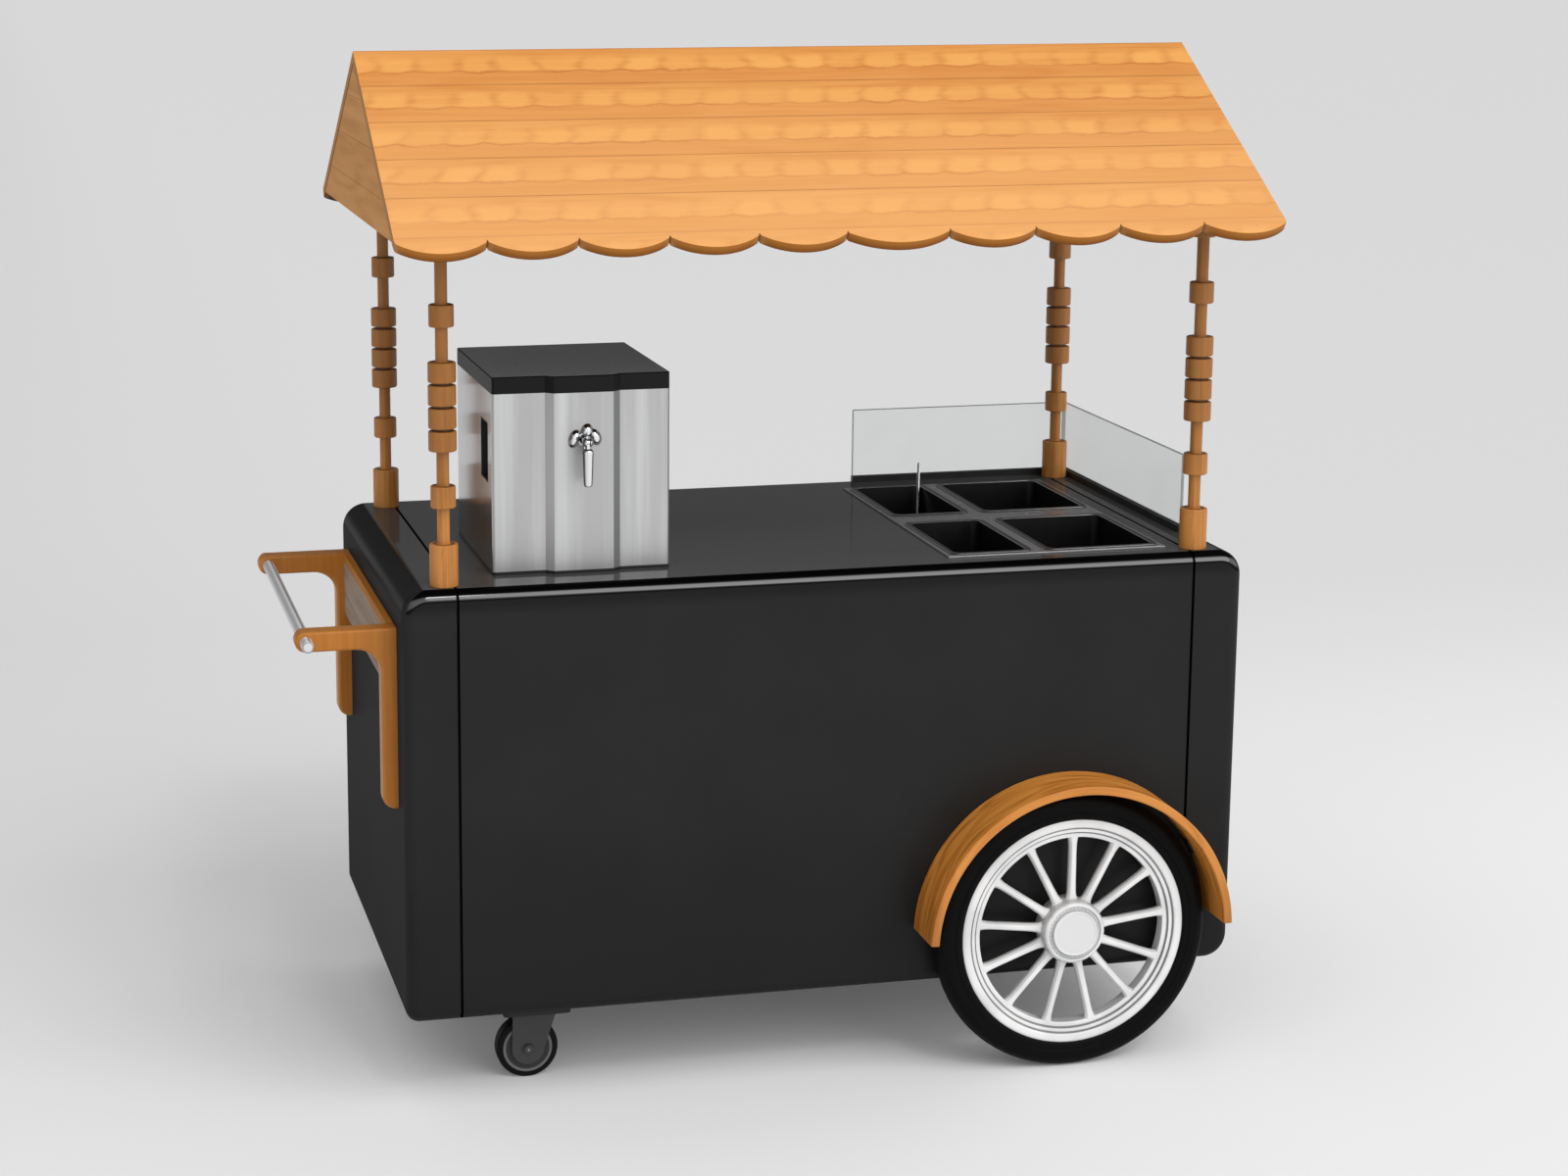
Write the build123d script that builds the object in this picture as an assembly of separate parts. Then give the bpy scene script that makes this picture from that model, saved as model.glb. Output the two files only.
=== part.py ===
from build123d import *
import math
import os

# Beverage cart: a black rounded body on two spoked wheels and two swivel casters, with a
# gabled wooden roof on turned posts, a push handle, a drink dispenser, serving pans and a
# glass guard. Millimetres, +Z up, the customer's side at -Y, the push handle at -X.
# Every piece is drawn about the middle of the body, and save() moves the whole cart along X
# so that the origin lies on the floor under the middle of its overall box.

# Body
BODY_LENGTH = 1560
BODY_DEPTH = 800
BODY_BOTTOM = 165
COUNTER_HEIGHT = 950
SHELL_WALL = 5
CAP_LENGTH = 97
SEAM_GAP = 2
CAP_RADIUS = 46
LEFT_FOOT_RADIUS = 24
RIGHT_FOOT_RADIUS = 46
FRONT_RADIUS = 22
REAR_RADIUS = 12
BULKHEAD_THICKNESS = 18
POST_BLOCK = 50
INSIDE_CLEARANCE = 0.2

# Chassis and floor
RAIL_WIDTH = 40
RAIL_EDGE = 4
JOIST_WIDTH = 45
JOIST_LEFT_DISTANCE = 300
JOIST_RIGHT_DISTANCE = 170
JOIST_MIDDLE = -20
FLOOR_THICKNESS = 12

# Storage door in the rear wall
DOOR_END_DISTANCE = 190
DOOR_OPENING_WIDTH = 560
DOOR_SILL = 16
DOOR_TOP_DISTANCE = 160
DOOR_OVERLAP = 20
DOOR_THICKNESS = 16
DOOR_EDGE = 3
DOOR_GRIP_LENGTH = 110
DOOR_GRIP_DEPTH = 26
HINGE_HEIGHT = 60
HINGE_END_DISTANCE = 90
HINGE_LEAF = 40
HINGE_LEAF_THICKNESS = 2.5
KNUCKLE_RADIUS = 5
HINGE_PIN_RADIUS = 2.5

# Spoked wheels, axle and fenders
AXLE_END_DISTANCE = 333
TYRE_RADIUS = 261
TYRE_WIDTH = 48
TYRE_SECTION = 47
RIM_SECTION = 36
RIM_WIDTH = 42
SPOKE_COUNT = 13
SPOKE_ROOT_WIDTH = 17
SPOKE_TIP_WIDTH = 12
SPOKE_DEPTH = 15
HUB_RADIUS = 56
HUB_LENGTH = 54
HUB_CAP_RADIUS = 49
HUB_CAP_THICKNESS = 7
HUB_RECESS_RADIUS = 27
HUB_RECESS_DEPTH = 17
BUSH_RADIUS = 18
BUSH_LENGTH = 16
AXLE_RADIUS = 12.5
AXLE_COLLAR_RADIUS = 20
AXLE_BLOCK_LENGTH = 70
AXLE_BLOCK_HEIGHT = 62
AXLE_NUT_ACROSS = 36
AXLE_NUT_THICKNESS = 11
WHEEL_SIDE_GAP = 8
RUNNING_CLEARANCE = 0.05
END_FLOAT = 0.3
FENDER_GAP = 14
FENDER_THICKNESS = 16
FENDER_WIDTH = 103
FENDER_FOOT_RISE = 12
FENDER_BRACKET_ANGLES = (30, 90, 150)
FENDER_BRACKET_LEG = 28
FENDER_BRACKET_THICKNESS = 3

# Swivel casters
CASTER_END_DISTANCE = 250
CASTER_SIDE_DISTANCE = 133
CASTER_MOUNT_LENGTH = 124
CASTER_MOUNT_WIDTH = 108
CASTER_MOUNT_HEIGHT = 32
CASTER_MOUNT_EDGE = 8
CASTER_WHEEL_RADIUS = 57
CASTER_WHEEL_WIDTH = 32
CASTER_WHEEL_EDGE = 6
CASTER_RING_OUTER = 45
CASTER_RING_INNER = 41
CASTER_RING_RISE = 1
CASTER_TRAIL = 12
CASTER_RACE_RADIUS = 32
CASTER_RACE_HEIGHT = 9
CASTER_KINGPIN_RADIUS = 6
CASTER_KINGPIN_LENGTH = 18
KINGPIN_HOLE_ROOM = 2
FORK_CROWN_LENGTH = 80
FORK_CROWN_THICKNESS = 5
FORK_CHEEK_THICKNESS = 3.5
FORK_CHEEK_GAP = 2.5
FORK_END_RADIUS = 30
CASTER_AXLE_RADIUS = 6
CASTER_BOLT_HEAD = 9.6

# Push handle
HANDLE_REACH = 177
HANDLE_DROP = 77
HANDLE_SPREAD = 310
BRACKET_WIDTH = 40
ARM_HEIGHT = 37
LEG_THICKNESS = 27
LEG_LENGTH = 330
BRACKET_FILLET = 45
LEG_END_RADIUS = 24
BRACKET_EDGE = 3
HANDLE_BAR_RADIUS = 11
HANDLE_BAR_OVERHANG = 34
BACK_BOARD_HEIGHT = 120
BACK_BOARD_THICKNESS = 12

# Turned posts
POST_END_DISTANCE = 82
POST_SIDE_DISTANCE = 48
POST_HEIGHT = 632
POST_ROD_RADIUS = 11
POST_BASE_RADIUS = 25
POST_BASE_HEIGHT = 75
POST_HEAD_HEIGHT = 57
BEAD_RADIUS = 22
BEAD_HEIGHT = 39
BEAD_CENTRE = 158
STACK_COUNT = 4
STACK_RADIUS = 24.5
STACK_BEAD_HEIGHT = 35.5
STACK_GAP = 4.5
STACK_NECK_RADIUS = 16
BEAD_EDGE = 2.5
STUD_RADIUS = 5
STUD_CLEARANCE = 0.1
STUD_DEPTH = 45

# Roof
ROOF_OVERHANG = 16
EAVE_OVERHANG = 85
RIDGE_ABOVE_POSTS = 275
EAVE_BELOW_POSTS = 18
ROOF_THICKNESS = 18
SCALLOP_COUNT = 10
WIDE_SCALLOP = 5
WIDE_SCALLOP_EXTRA = 28
SCALLOP_DEPTH = 31
GABLE_THICKNESS = 16
GABLE_INSET = 1
GABLE_BELOW_EAVE = 2
ROOF_RAIL_WIDTH = 44
ROOF_DOWEL = 12

# Glass guard
GLASS_THICKNESS = 6
GLASS_EDGE = 0.6
GLASS_HEIGHT = 150
GLASS_LEFT_INSET = 40
GLASS_FRONT_INSET = 116
GLASS_POST_GAP = 2
CHANNEL_WIDTH = 12
CHANNEL_HEIGHT = 12
CHANNEL_FLOOR = 3
GLASS_CLEARANCE = 0.2

# Serving pans
PAN_END_DISTANCE = 130
PAN_SIDE_DISTANCE = 87
PAN_LEFT_WIDTH = 137
PAN_RIGHT_WIDTH = 200
PAN_ROW_DEPTH = 266
PAN_COLUMN_GAP = 45
PAN_ROW_GAP = 84
PAN_MARGIN = 19
PAN_DEPTH = 150
PAN_WALL = 2
PAN_FLANGE = 11
PAN_FLANGE_THICKNESS = 2
PAN_DRAFT = 7
PAN_CORNER = 14
PAN_CLEARANCE = 1
PAN_FRAME_THICKNESS = 3
PAN_FRAME_CORNER = 6
PAN_FRAME_LIP = 12
PAN_FRAME_SKIRT = 22
SPOON_RADIUS = 3
SPOON_RISE = 48
SPOON_FOOT_INSET = (34, 89)
SPOON_CORNER_ANGLE = 33
SPOON_BOWL_LENGTH = 52
SPOON_BOWL_WIDTH = 34
SPOON_CLEARANCE = 0.4

# Drink dispenser
DISPENSER_END_DISTANCE = 178
DISPENSER_WIDTH = 321
DISPENSER_SIDE_DISTANCE = 102
DISPENSER_DEPTH = 365
DISPENSER_HEIGHT = 324
DISPENSER_WALL = 2.5
DISPENSER_EDGE = 6
BAY_LEFT = 95
BAY_WIDTH = 135
BAY_BEVEL = 14
BAY_DEPTH = 12
LID_THICKNESS = 30
LID_EDGE = 1.5
LID_PLUG_DEPTH = 10
TANK_GAP = 22
TANK_WALL = 2
TANK_CORNER = 18
TANK_FLOOR_HEIGHT = 40
LID_CLEARANCE = 1
GRIP_WIDTH = 70
GRIP_HEIGHT = 108
GRIP_FRONT_INSET = 40
GRIP_CENTRE_HEIGHT = 214
GRIP_DEPTH = 14
GRIP_WALL = 2.5
TAP_HEIGHT = 241
TAP_LOBE_RADIUS = 12
TAP_LOBE_SPREAD = 19
TAP_LOBE_RISE = 10
TAP_TOP_LOBE_RISE = 16
TAP_LOBE_EDGE = 3
TAP_PLATE_THICKNESS = 7
TAP_BOSS_RADIUS = 9
TAP_REACH = 34
TAP_BALL_RADIUS = 9.5
TAP_SHANK_RADIUS = 9
TAP_NOZZLE_RADIUS = 5.5
TAP_NOZZLE_DROP = 26
TAP_TONGUE_WIDTH = 6
TAP_PIN_RADIUS = 2
TAP_LEVER_LENGTH = 79
TAP_LEVER_TOP_RADIUS = 7.5
TAP_LEVER_END_RADIUS = 5.5
TAP_LEVER_EDGE = 2.5
TAP_TONGUE_RADIUS = 4
TAP_SLOT_CLEARANCE = 0.4

# Places that follow from the sizes above
HALF_LENGTH = BODY_LENGTH / 2
HALF_DEPTH = BODY_DEPTH / 2
ROOF_LENGTH = BODY_LENGTH + 2 * ROOF_OVERHANG
CENTRE_X = (HALF_LENGTH + HANDLE_REACH - ROOF_LENGTH / 2) / 2
SEAM_X = HALF_LENGTH - CAP_LENGTH
INNER_DEPTH = HALF_DEPTH - SHELL_WALL
INNER_BOTTOM = BODY_BOTTOM + SHELL_WALL
INNER_TOP = COUNTER_HEIGHT - SHELL_WALL
RAIL_TOP = TYRE_RADIUS - AXLE_BLOCK_HEIGHT / 2
JOIST_TOP = TYRE_RADIUS + AXLE_BLOCK_HEIGHT / 2
AXLE_X = HALF_LENGTH - AXLE_END_DISTANCE
RIM_RADIUS = TYRE_RADIUS - TYRE_SECTION
RIM_INNER_RADIUS = RIM_RADIUS - RIM_SECTION
CASTER_X = -HALF_LENGTH + CASTER_END_DISTANCE
CASTER_Y = HALF_DEPTH - CASTER_SIDE_DISTANCE
HANDLE_TOP = COUNTER_HEIGHT - HANDLE_DROP
POST_X = HALF_LENGTH - POST_END_DISTANCE
POST_Y = HALF_DEPTH - POST_SIDE_DISTANCE
POST_TOP = COUNTER_HEIGHT + POST_HEIGHT
RIDGE_HEIGHT = POST_TOP + RIDGE_ABOVE_POSTS
EAVE_HEIGHT = POST_TOP - EAVE_BELOW_POSTS
EAVE_Y = HALF_DEPTH + EAVE_OVERHANG
ROOF_SLOPE = math.atan2(RIDGE_HEIGHT - EAVE_HEIGHT, EAVE_Y)
ROOF_RISE = math.tan(ROOF_SLOPE)
ROOF_DROP = ROOF_THICKNESS / math.cos(ROOF_SLOPE)
GABLE_BOTTOM = EAVE_HEIGHT - GABLE_BELOW_EAVE
PAN_COLUMNS_WIDTH = PAN_LEFT_WIDTH + PAN_COLUMN_GAP + PAN_RIGHT_WIDTH
PAN_FRAME_RIGHT = HALF_LENGTH - PAN_END_DISTANCE
PAN_FRAME_LEFT = PAN_FRAME_RIGHT - 2 * PAN_MARGIN - PAN_COLUMNS_WIDTH
PAN_FRAME_REAR = HALF_DEPTH - PAN_SIDE_DISTANCE
PAN_FRAME_FRONT = PAN_FRAME_REAR - 2 * PAN_MARGIN - 2 * PAN_ROW_DEPTH - PAN_ROW_GAP
DOOR_OPENING_LEFT = -HALF_LENGTH + DOOR_END_DISTANCE
DOOR_OPENING_RIGHT = DOOR_OPENING_LEFT + DOOR_OPENING_WIDTH
DOOR_OPENING_BOTTOM = JOIST_TOP + FLOOR_THICKNESS + DOOR_SILL
DOOR_OPENING_TOP = COUNTER_HEIGHT - DOOR_TOP_DISTANCE


def save(name, *pieces):
    """Write one node, shifted so that the origin is under the middle of the cart."""
    shape = pieces[0] if len(pieces) == 1 else Compound(list(pieces))
    export_step(Pos(CENTRE_X, 0, 0) * shape, f"parts/{name}.step")


def block(x0, x1, y0, y1, z0, z1):
    """Box between two opposite corners."""
    return Pos((x0 + x1) / 2, (y0 + y1) / 2, (z0 + z1) / 2) * Box(x1 - x0, y1 - y0, z1 - z0)


def rod_x(radius, x0, x1, y, z):
    return Pos((x0 + x1) / 2, y, z) * Rot(0, 90, 0) * Cylinder(radius, abs(x1 - x0))


def rod_y(radius, y0, y1, x, z):
    return Pos(x, (y0 + y1) / 2, z) * Rot(90, 0, 0) * Cylinder(radius, abs(y1 - y0))


def rod_z(radius, z0, z1, x, y):
    return Pos(x, y, (z0 + z1) / 2) * Cylinder(radius, abs(z1 - z0))


def round_corner(face, u, v, radius):
    """Round the corner of a flat face that lies nearest to (u, v)."""
    corner = face.vertices().sort_by_distance((u, v, 0))[0]
    return fillet(corner, radius)


def mirrored_x(shape):
    return mirror(shape, about=Plane.YZ)


def mirrored_y(shape):
    return mirror(shape, about=Plane.XZ)


# Body shell: a middle sleeve and two rounded end caps

def body_section(inset):
    """Cross-section of the body in the Y-Z plane, drawn in by inset."""
    front = -HALF_DEPTH + inset
    rear = HALF_DEPTH - inset
    low = BODY_BOTTOM + inset
    high = COUNTER_HEIGHT - inset
    face = Pos(0, (low + high) / 2) * Rectangle(rear - front, high - low)
    for u, v, radius in (
        (front, low, FRONT_RADIUS),
        (front, high, FRONT_RADIUS),
        (rear, low, REAR_RADIUS),
        (rear, high, REAR_RADIUS),
    ):
        face = round_corner(face, u, v, radius - inset)
    return Plane.YZ * face


def sleeve(x0, x1, inset):
    return Pos(x0, 0, 0) * extrude(body_section(inset), x1 - x0)


def cap_block(foot_radius, inset):
    """Solid right-hand end of the body, drawn in by inset on its outer sides."""
    inner = SEAM_X + SEAM_GAP / 2
    outer = HALF_LENGTH - inset
    low = BODY_BOTTOM + inset
    high = COUNTER_HEIGHT - inset
    face = Pos((inner + outer) / 2, (low + high) / 2) * Rectangle(outer - inner, high - low)
    face = round_corner(face, outer, low, foot_radius - inset)
    face = round_corner(face, outer, high, CAP_RADIUS - inset)
    depth = HALF_DEPTH - inset
    solid = extrude(Plane.XZ * face, depth, both=True)
    for side, radius in ((-1, FRONT_RADIUS), (1, REAR_RADIUS)):
        end = solid.faces().sort_by(Axis.Y)[0 if side < 0 else -1]
        rim = [e for e in end.edges() if e.center().X > inner + 1]
        solid = fillet(rim, radius - inset)
    return solid


def post_places():
    return [(sx * POST_X, sy * POST_Y) for sy in (-1, 1) for sx in (-1, 1)]


def centre_shell():
    half = SEAM_X - SEAM_GAP / 2
    shell = sleeve(-half, half, 0) - sleeve(-half - 1, half + 1, SHELL_WALL)
    shell -= block(
        PAN_FRAME_LEFT + PAN_FRAME_LIP, PAN_FRAME_RIGHT - PAN_FRAME_LIP,
        PAN_FRAME_FRONT + PAN_FRAME_LIP, PAN_FRAME_REAR - PAN_FRAME_LIP,
        INNER_TOP - 1, COUNTER_HEIGHT + 1,
    )
    shell -= block(
        DOOR_OPENING_LEFT, DOOR_OPENING_RIGHT,
        INNER_DEPTH - 1, HALF_DEPTH + 1,
        DOOR_OPENING_BOTTOM, DOOR_OPENING_TOP,
    )
    axle_hole = AXLE_RADIUS + END_FLOAT
    shell -= rod_y(axle_hole, -HALF_DEPTH - 1, HALF_DEPTH + 1, AXLE_X, TYRE_RADIUS)
    for side in (-1, 1):
        hole = CASTER_KINGPIN_RADIUS + KINGPIN_HOLE_ROOM
        shell -= rod_z(hole, BODY_BOTTOM - 1, INNER_BOTTOM + 1, CASTER_X, side * CASTER_Y)
    return shell


def end_cap(foot_radius):
    """Hollow right-hand end cap with a hole for each post's stud."""
    cap = cap_block(foot_radius, 0) - cap_block(foot_radius, SHELL_WALL)
    for side in (-1, 1):
        hole = STUD_RADIUS + STUD_CLEARANCE
        cap -= rod_z(hole, INNER_TOP - 1, COUNTER_HEIGHT + 1, POST_X, side * POST_Y)
    return cap


def bulkhead():
    """Plate inside the seam, with a glued block under each post."""
    x0 = SEAM_X - BULKHEAD_THICKNESS / 2
    x1 = SEAM_X + BULKHEAD_THICKNESS / 2
    plate = sleeve(x0, x1, SHELL_WALL + INSIDE_CLEARANCE)
    top = INNER_TOP - INSIDE_CLEARANCE
    for side in (-1, 1):
        y = side * POST_Y
        half = POST_BLOCK / 2
        plate += block(x1, POST_X + half, y - half / 2, y + half / 2, top - POST_BLOCK, top)
        plate -= rod_z(STUD_RADIUS + STUD_CLEARANCE, top - STUD_DEPTH, top + 1, POST_X, y)
    return plate


# Chassis: two rails on the shell's floor, joists across them and the storage floor

def chassis_rails():
    half = SEAM_X - BULKHEAD_THICKNESS / 2 - INSIDE_CLEARANCE
    rails = []
    for side in (-1, 1):
        y = side * CASTER_Y
        rail = block(-half, half, y - RAIL_WIDTH / 2, y + RAIL_WIDTH / 2, INNER_BOTTOM, RAIL_TOP)
        rails.append(fillet(rail.edges().filter_by(Axis.X), RAIL_EDGE))
    return rails


def floor_joists():
    reach = INNER_DEPTH - INSIDE_CLEARANCE
    half = JOIST_WIDTH / 2
    places = (-HALF_LENGTH + JOIST_LEFT_DISTANCE, JOIST_MIDDLE, HALF_LENGTH - JOIST_RIGHT_DISTANCE)
    return [block(x - half, x + half, -reach, reach, RAIL_TOP, JOIST_TOP) for x in places]


def floor_panel():
    half = SEAM_X - BULKHEAD_THICKNESS / 2 - INSIDE_CLEARANCE
    reach = INNER_DEPTH - INSIDE_CLEARANCE
    return block(-half, half, -reach, reach, JOIST_TOP, JOIST_TOP + FLOOR_THICKNESS)


# Storage door: a flat leaf over the opening in the rear wall, on two butt hinges

DOOR_LEFT = DOOR_OPENING_LEFT - DOOR_OVERLAP
DOOR_RIGHT = DOOR_OPENING_RIGHT + DOOR_OVERLAP
DOOR_BOTTOM = DOOR_OPENING_BOTTOM - DOOR_OVERLAP
DOOR_TOP = DOOR_OPENING_TOP + DOOR_OVERLAP
HINGE_X = DOOR_LEFT - KNUCKLE_RADIUS - 1
HINGE_Y = HALF_DEPTH + DOOR_THICKNESS / 2
HINGE_PLACES = (DOOR_BOTTOM + HINGE_END_DISTANCE, DOOR_TOP - HINGE_END_DISTANCE)


def rear_door():
    leaf = block(DOOR_LEFT, DOOR_RIGHT, HALF_DEPTH, HALF_DEPTH + DOOR_THICKNESS, DOOR_BOTTOM, DOOR_TOP)
    leaf = fillet(leaf.faces().sort_by(Axis.Y)[-1].edges(), DOOR_EDGE)
    middle = (DOOR_BOTTOM + DOOR_TOP) / 2
    notch = Box(2 * DOOR_GRIP_DEPTH, 2 * DOOR_THICKNESS, DOOR_GRIP_LENGTH)
    notch = Pos(DOOR_RIGHT, HINGE_Y, middle) * notch
    notch = fillet(notch.edges().filter_by(Axis.Y), DOOR_GRIP_DEPTH * 0.8)
    return leaf - notch


def knuckle(z0, z1):
    bore = rod_z(HINGE_PIN_RADIUS + RUNNING_CLEARANCE, z0 - 1, z1 + 1, HINGE_X, HINGE_Y)
    return rod_z(KNUCKLE_RADIUS, z0, z1, HINGE_X, HINGE_Y), bore


def door_hinges():
    """Fixed leaves on the rear wall with two outer knuckles each, and their pins."""
    third = HINGE_HEIGHT / 3
    pieces = []
    for z in HINGE_PLACES:
        low = z - HINGE_HEIGHT / 2
        high = z + HINGE_HEIGHT / 2
        leaf = block(
            HINGE_X - HINGE_LEAF, HINGE_X - KNUCKLE_RADIUS + 1,
            HALF_DEPTH, HALF_DEPTH + HINGE_LEAF_THICKNESS, low, high,
        )
        for z0, z1 in ((low, low + third - END_FLOAT), (high - third + END_FLOAT, high)):
            tube, bore = knuckle(z0, z1)
            web = block(HINGE_X - KNUCKLE_RADIUS, HINGE_X, HALF_DEPTH, HINGE_Y, z0, z1)
            leaf = leaf + tube + web - bore
        pieces.append(leaf)
        pieces.append(rod_z(HINGE_PIN_RADIUS, low - 1, high + 1, HINGE_X, HINGE_Y))
    return pieces


def door_leaves():
    """Moving leaves, screwed to the outside of the door."""
    third = HINGE_HEIGHT / 3
    face = HALF_DEPTH + DOOR_THICKNESS
    pieces = []
    for z in HINGE_PLACES:
        low = z - third / 2
        high = z + third / 2
        tube, bore = knuckle(low, high)
        web = block(
            HINGE_X, HINGE_X + KNUCKLE_RADIUS,
            HINGE_Y, face + HINGE_LEAF_THICKNESS, low, high,
        )
        plate = block(
            HINGE_X + KNUCKLE_RADIUS - 1, HINGE_X + HINGE_LEAF,
            face, face + HINGE_LEAF_THICKNESS, z - HINGE_HEIGHT / 2, z + HINGE_HEIGHT / 2,
        )
        pieces.append(tube + web - bore + plate)
    return pieces


# Spoked wheels on one through axle, drawn for the customer's side and mirrored

TYRE_FRONT = -HALF_DEPTH - WHEEL_SIDE_GAP - TYRE_WIDTH
WHEEL_Y = TYRE_FRONT + TYRE_WIDTH / 2
HUB_REAR = -HALF_DEPTH - WHEEL_SIDE_GAP / 2 - END_FLOAT
HUB_FRONT = HUB_REAR - HUB_LENGTH
NUT_SEAT = HUB_FRONT + HUB_RECESS_DEPTH - END_FLOAT


def turned(points):
    """Ring turned about the wheel's axle from (radius, y) points."""
    outline = make_face(Polyline(*[(r, y) for r, y in points], close=True))
    ring = revolve(outline, Axis.Y)
    return Pos(AXLE_X, 0, TYRE_RADIUS) * ring


def wheel():
    front = WHEEL_Y - RIM_WIDTH / 2
    rear = WHEEL_Y + RIM_WIDTH / 2
    step = (RIM_RADIUS - RIM_INNER_RADIUS) / 4
    rim = turned([
        (RIM_RADIUS, front), (RIM_RADIUS, rear), (RIM_INNER_RADIUS + step, rear),
        (RIM_INNER_RADIUS, rear - step), (RIM_INNER_RADIUS, front + step),
        (RIM_INNER_RADIUS + step, front + step), (RIM_INNER_RADIUS + step, front + step / 2),
        (RIM_INNER_RADIUS + 2 * step, front + step / 2), (RIM_INNER_RADIUS + 2 * step, front),
    ])
    hub = rod_y(HUB_RADIUS, HUB_FRONT, HUB_REAR, AXLE_X, TYRE_RADIUS)
    solid = rim + hub
    spoke_y = front + step + SPOKE_DEPTH / 2
    for number in range(SPOKE_COUNT):
        solid += Pos(AXLE_X, spoke_y, TYRE_RADIUS) * Rot(0, 360 * number / SPOKE_COUNT, 0) * spoke()
    solid -= rod_y(BUSH_RADIUS, HUB_FRONT - 1, HUB_REAR + 1, AXLE_X, TYRE_RADIUS)
    solid -= rod_y(HUB_RECESS_RADIUS, HUB_FRONT - 1, HUB_FRONT + HUB_RECESS_DEPTH, AXLE_X, TYRE_RADIUS)
    return solid


def spoke():
    """One tapered spoke standing up from the hub to the rim."""
    root = HUB_RADIUS - 4
    tip = RIM_INNER_RADIUS + 2
    outline = make_face(Polyline(
        (-SPOKE_ROOT_WIDTH / 2, root), (SPOKE_ROOT_WIDTH / 2, root),
        (SPOKE_TIP_WIDTH / 2, tip), (-SPOKE_TIP_WIDTH / 2, tip), close=True,
    ))
    bar = extrude(Plane.XZ * outline, SPOKE_DEPTH / 2, both=True)
    long_edges = [e for e in bar.edges() if e.length > (tip - root) * 0.9]
    return chamfer(long_edges, SPOKE_TIP_WIDTH / 4)


def tyre():
    shoulder = TYRE_WIDTH / 4
    bead = RIM_WIDTH / 2
    return turned([
        (RIM_RADIUS, WHEEL_Y - bead), (RIM_RADIUS + 6, WHEEL_Y - TYRE_WIDTH / 2),
        (TYRE_RADIUS - shoulder, WHEEL_Y - TYRE_WIDTH / 2),
        (TYRE_RADIUS - shoulder / 3, WHEEL_Y - TYRE_WIDTH / 2 + shoulder / 3),
        (TYRE_RADIUS, WHEEL_Y - TYRE_WIDTH / 2 + shoulder),
        (TYRE_RADIUS, WHEEL_Y + TYRE_WIDTH / 2 - shoulder),
        (TYRE_RADIUS - shoulder / 3, WHEEL_Y + TYRE_WIDTH / 2 - shoulder / 3),
        (TYRE_RADIUS - shoulder, WHEEL_Y + TYRE_WIDTH / 2),
        (RIM_RADIUS + 6, WHEEL_Y + TYRE_WIDTH / 2), (RIM_RADIUS, WHEEL_Y + bead),
    ])


def hub_cap():
    disc = rod_y(HUB_CAP_RADIUS, HUB_FRONT - HUB_CAP_THICKNESS, HUB_FRONT, AXLE_X, TYRE_RADIUS)
    disc = fillet(disc.edges().sort_by(Axis.Y)[0], HUB_CAP_THICKNESS * 0.6)
    spigot = rod_y(HUB_RECESS_RADIUS - INSIDE_CLEARANCE, HUB_FRONT, HUB_FRONT + 4, AXLE_X, TYRE_RADIUS)
    return disc + spigot - rod_y(HUB_RECESS_RADIUS - 3, HUB_FRONT, HUB_FRONT + 5, AXLE_X, TYRE_RADIUS)


def wheel_bushes():
    """Two plain bushes pressed into the hub."""
    bore = rod_y(AXLE_RADIUS + RUNNING_CLEARANCE, HUB_FRONT, HUB_REAR + 1, AXLE_X, TYRE_RADIUS)
    bottom = HUB_FRONT + HUB_RECESS_DEPTH
    outer = rod_y(BUSH_RADIUS, bottom, bottom + BUSH_LENGTH, AXLE_X, TYRE_RADIUS)
    inner = rod_y(BUSH_RADIUS, HUB_REAR - BUSH_LENGTH, HUB_REAR, AXLE_X, TYRE_RADIUS)
    return [outer - bore, inner - bore]


def axle():
    end = NUT_SEAT - AXLE_NUT_THICKNESS - 2
    bar = rod_y(AXLE_RADIUS, end, -end, AXLE_X, TYRE_RADIUS)
    collar = rod_y(AXLE_COLLAR_RADIUS, HUB_REAR + END_FLOAT, -HALF_DEPTH, AXLE_X, TYRE_RADIUS)
    return bar + collar + mirrored_y(collar)


def axle_nut():
    hexagon = RegularPolygon(AXLE_NUT_ACROSS / 2, 6, major_radius=False)
    nut = extrude(Plane.XZ * hexagon, AXLE_NUT_THICKNESS)
    nut = Pos(AXLE_X, NUT_SEAT, TYRE_RADIUS) * nut
    return nut - rod_y(AXLE_RADIUS + INSIDE_CLEARANCE, HUB_FRONT - 20, 0, AXLE_X, TYRE_RADIUS)


def axle_blocks():
    half = AXLE_BLOCK_LENGTH / 2
    pieces = []
    for side in (-1, 1):
        y = side * CASTER_Y
        body = block(
            AXLE_X - half, AXLE_X + half, y - RAIL_WIDTH / 2, y + RAIL_WIDTH / 2, RAIL_TOP, JOIST_TOP,
        )
        bore = AXLE_RADIUS + INSIDE_CLEARANCE
        pieces.append(body - rod_y(bore, -HALF_DEPTH, HALF_DEPTH, AXLE_X, TYRE_RADIUS))
    return pieces


FENDER_INNER = TYRE_RADIUS + FENDER_GAP
FENDER_OUTER = FENDER_INNER + FENDER_THICKNESS


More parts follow.
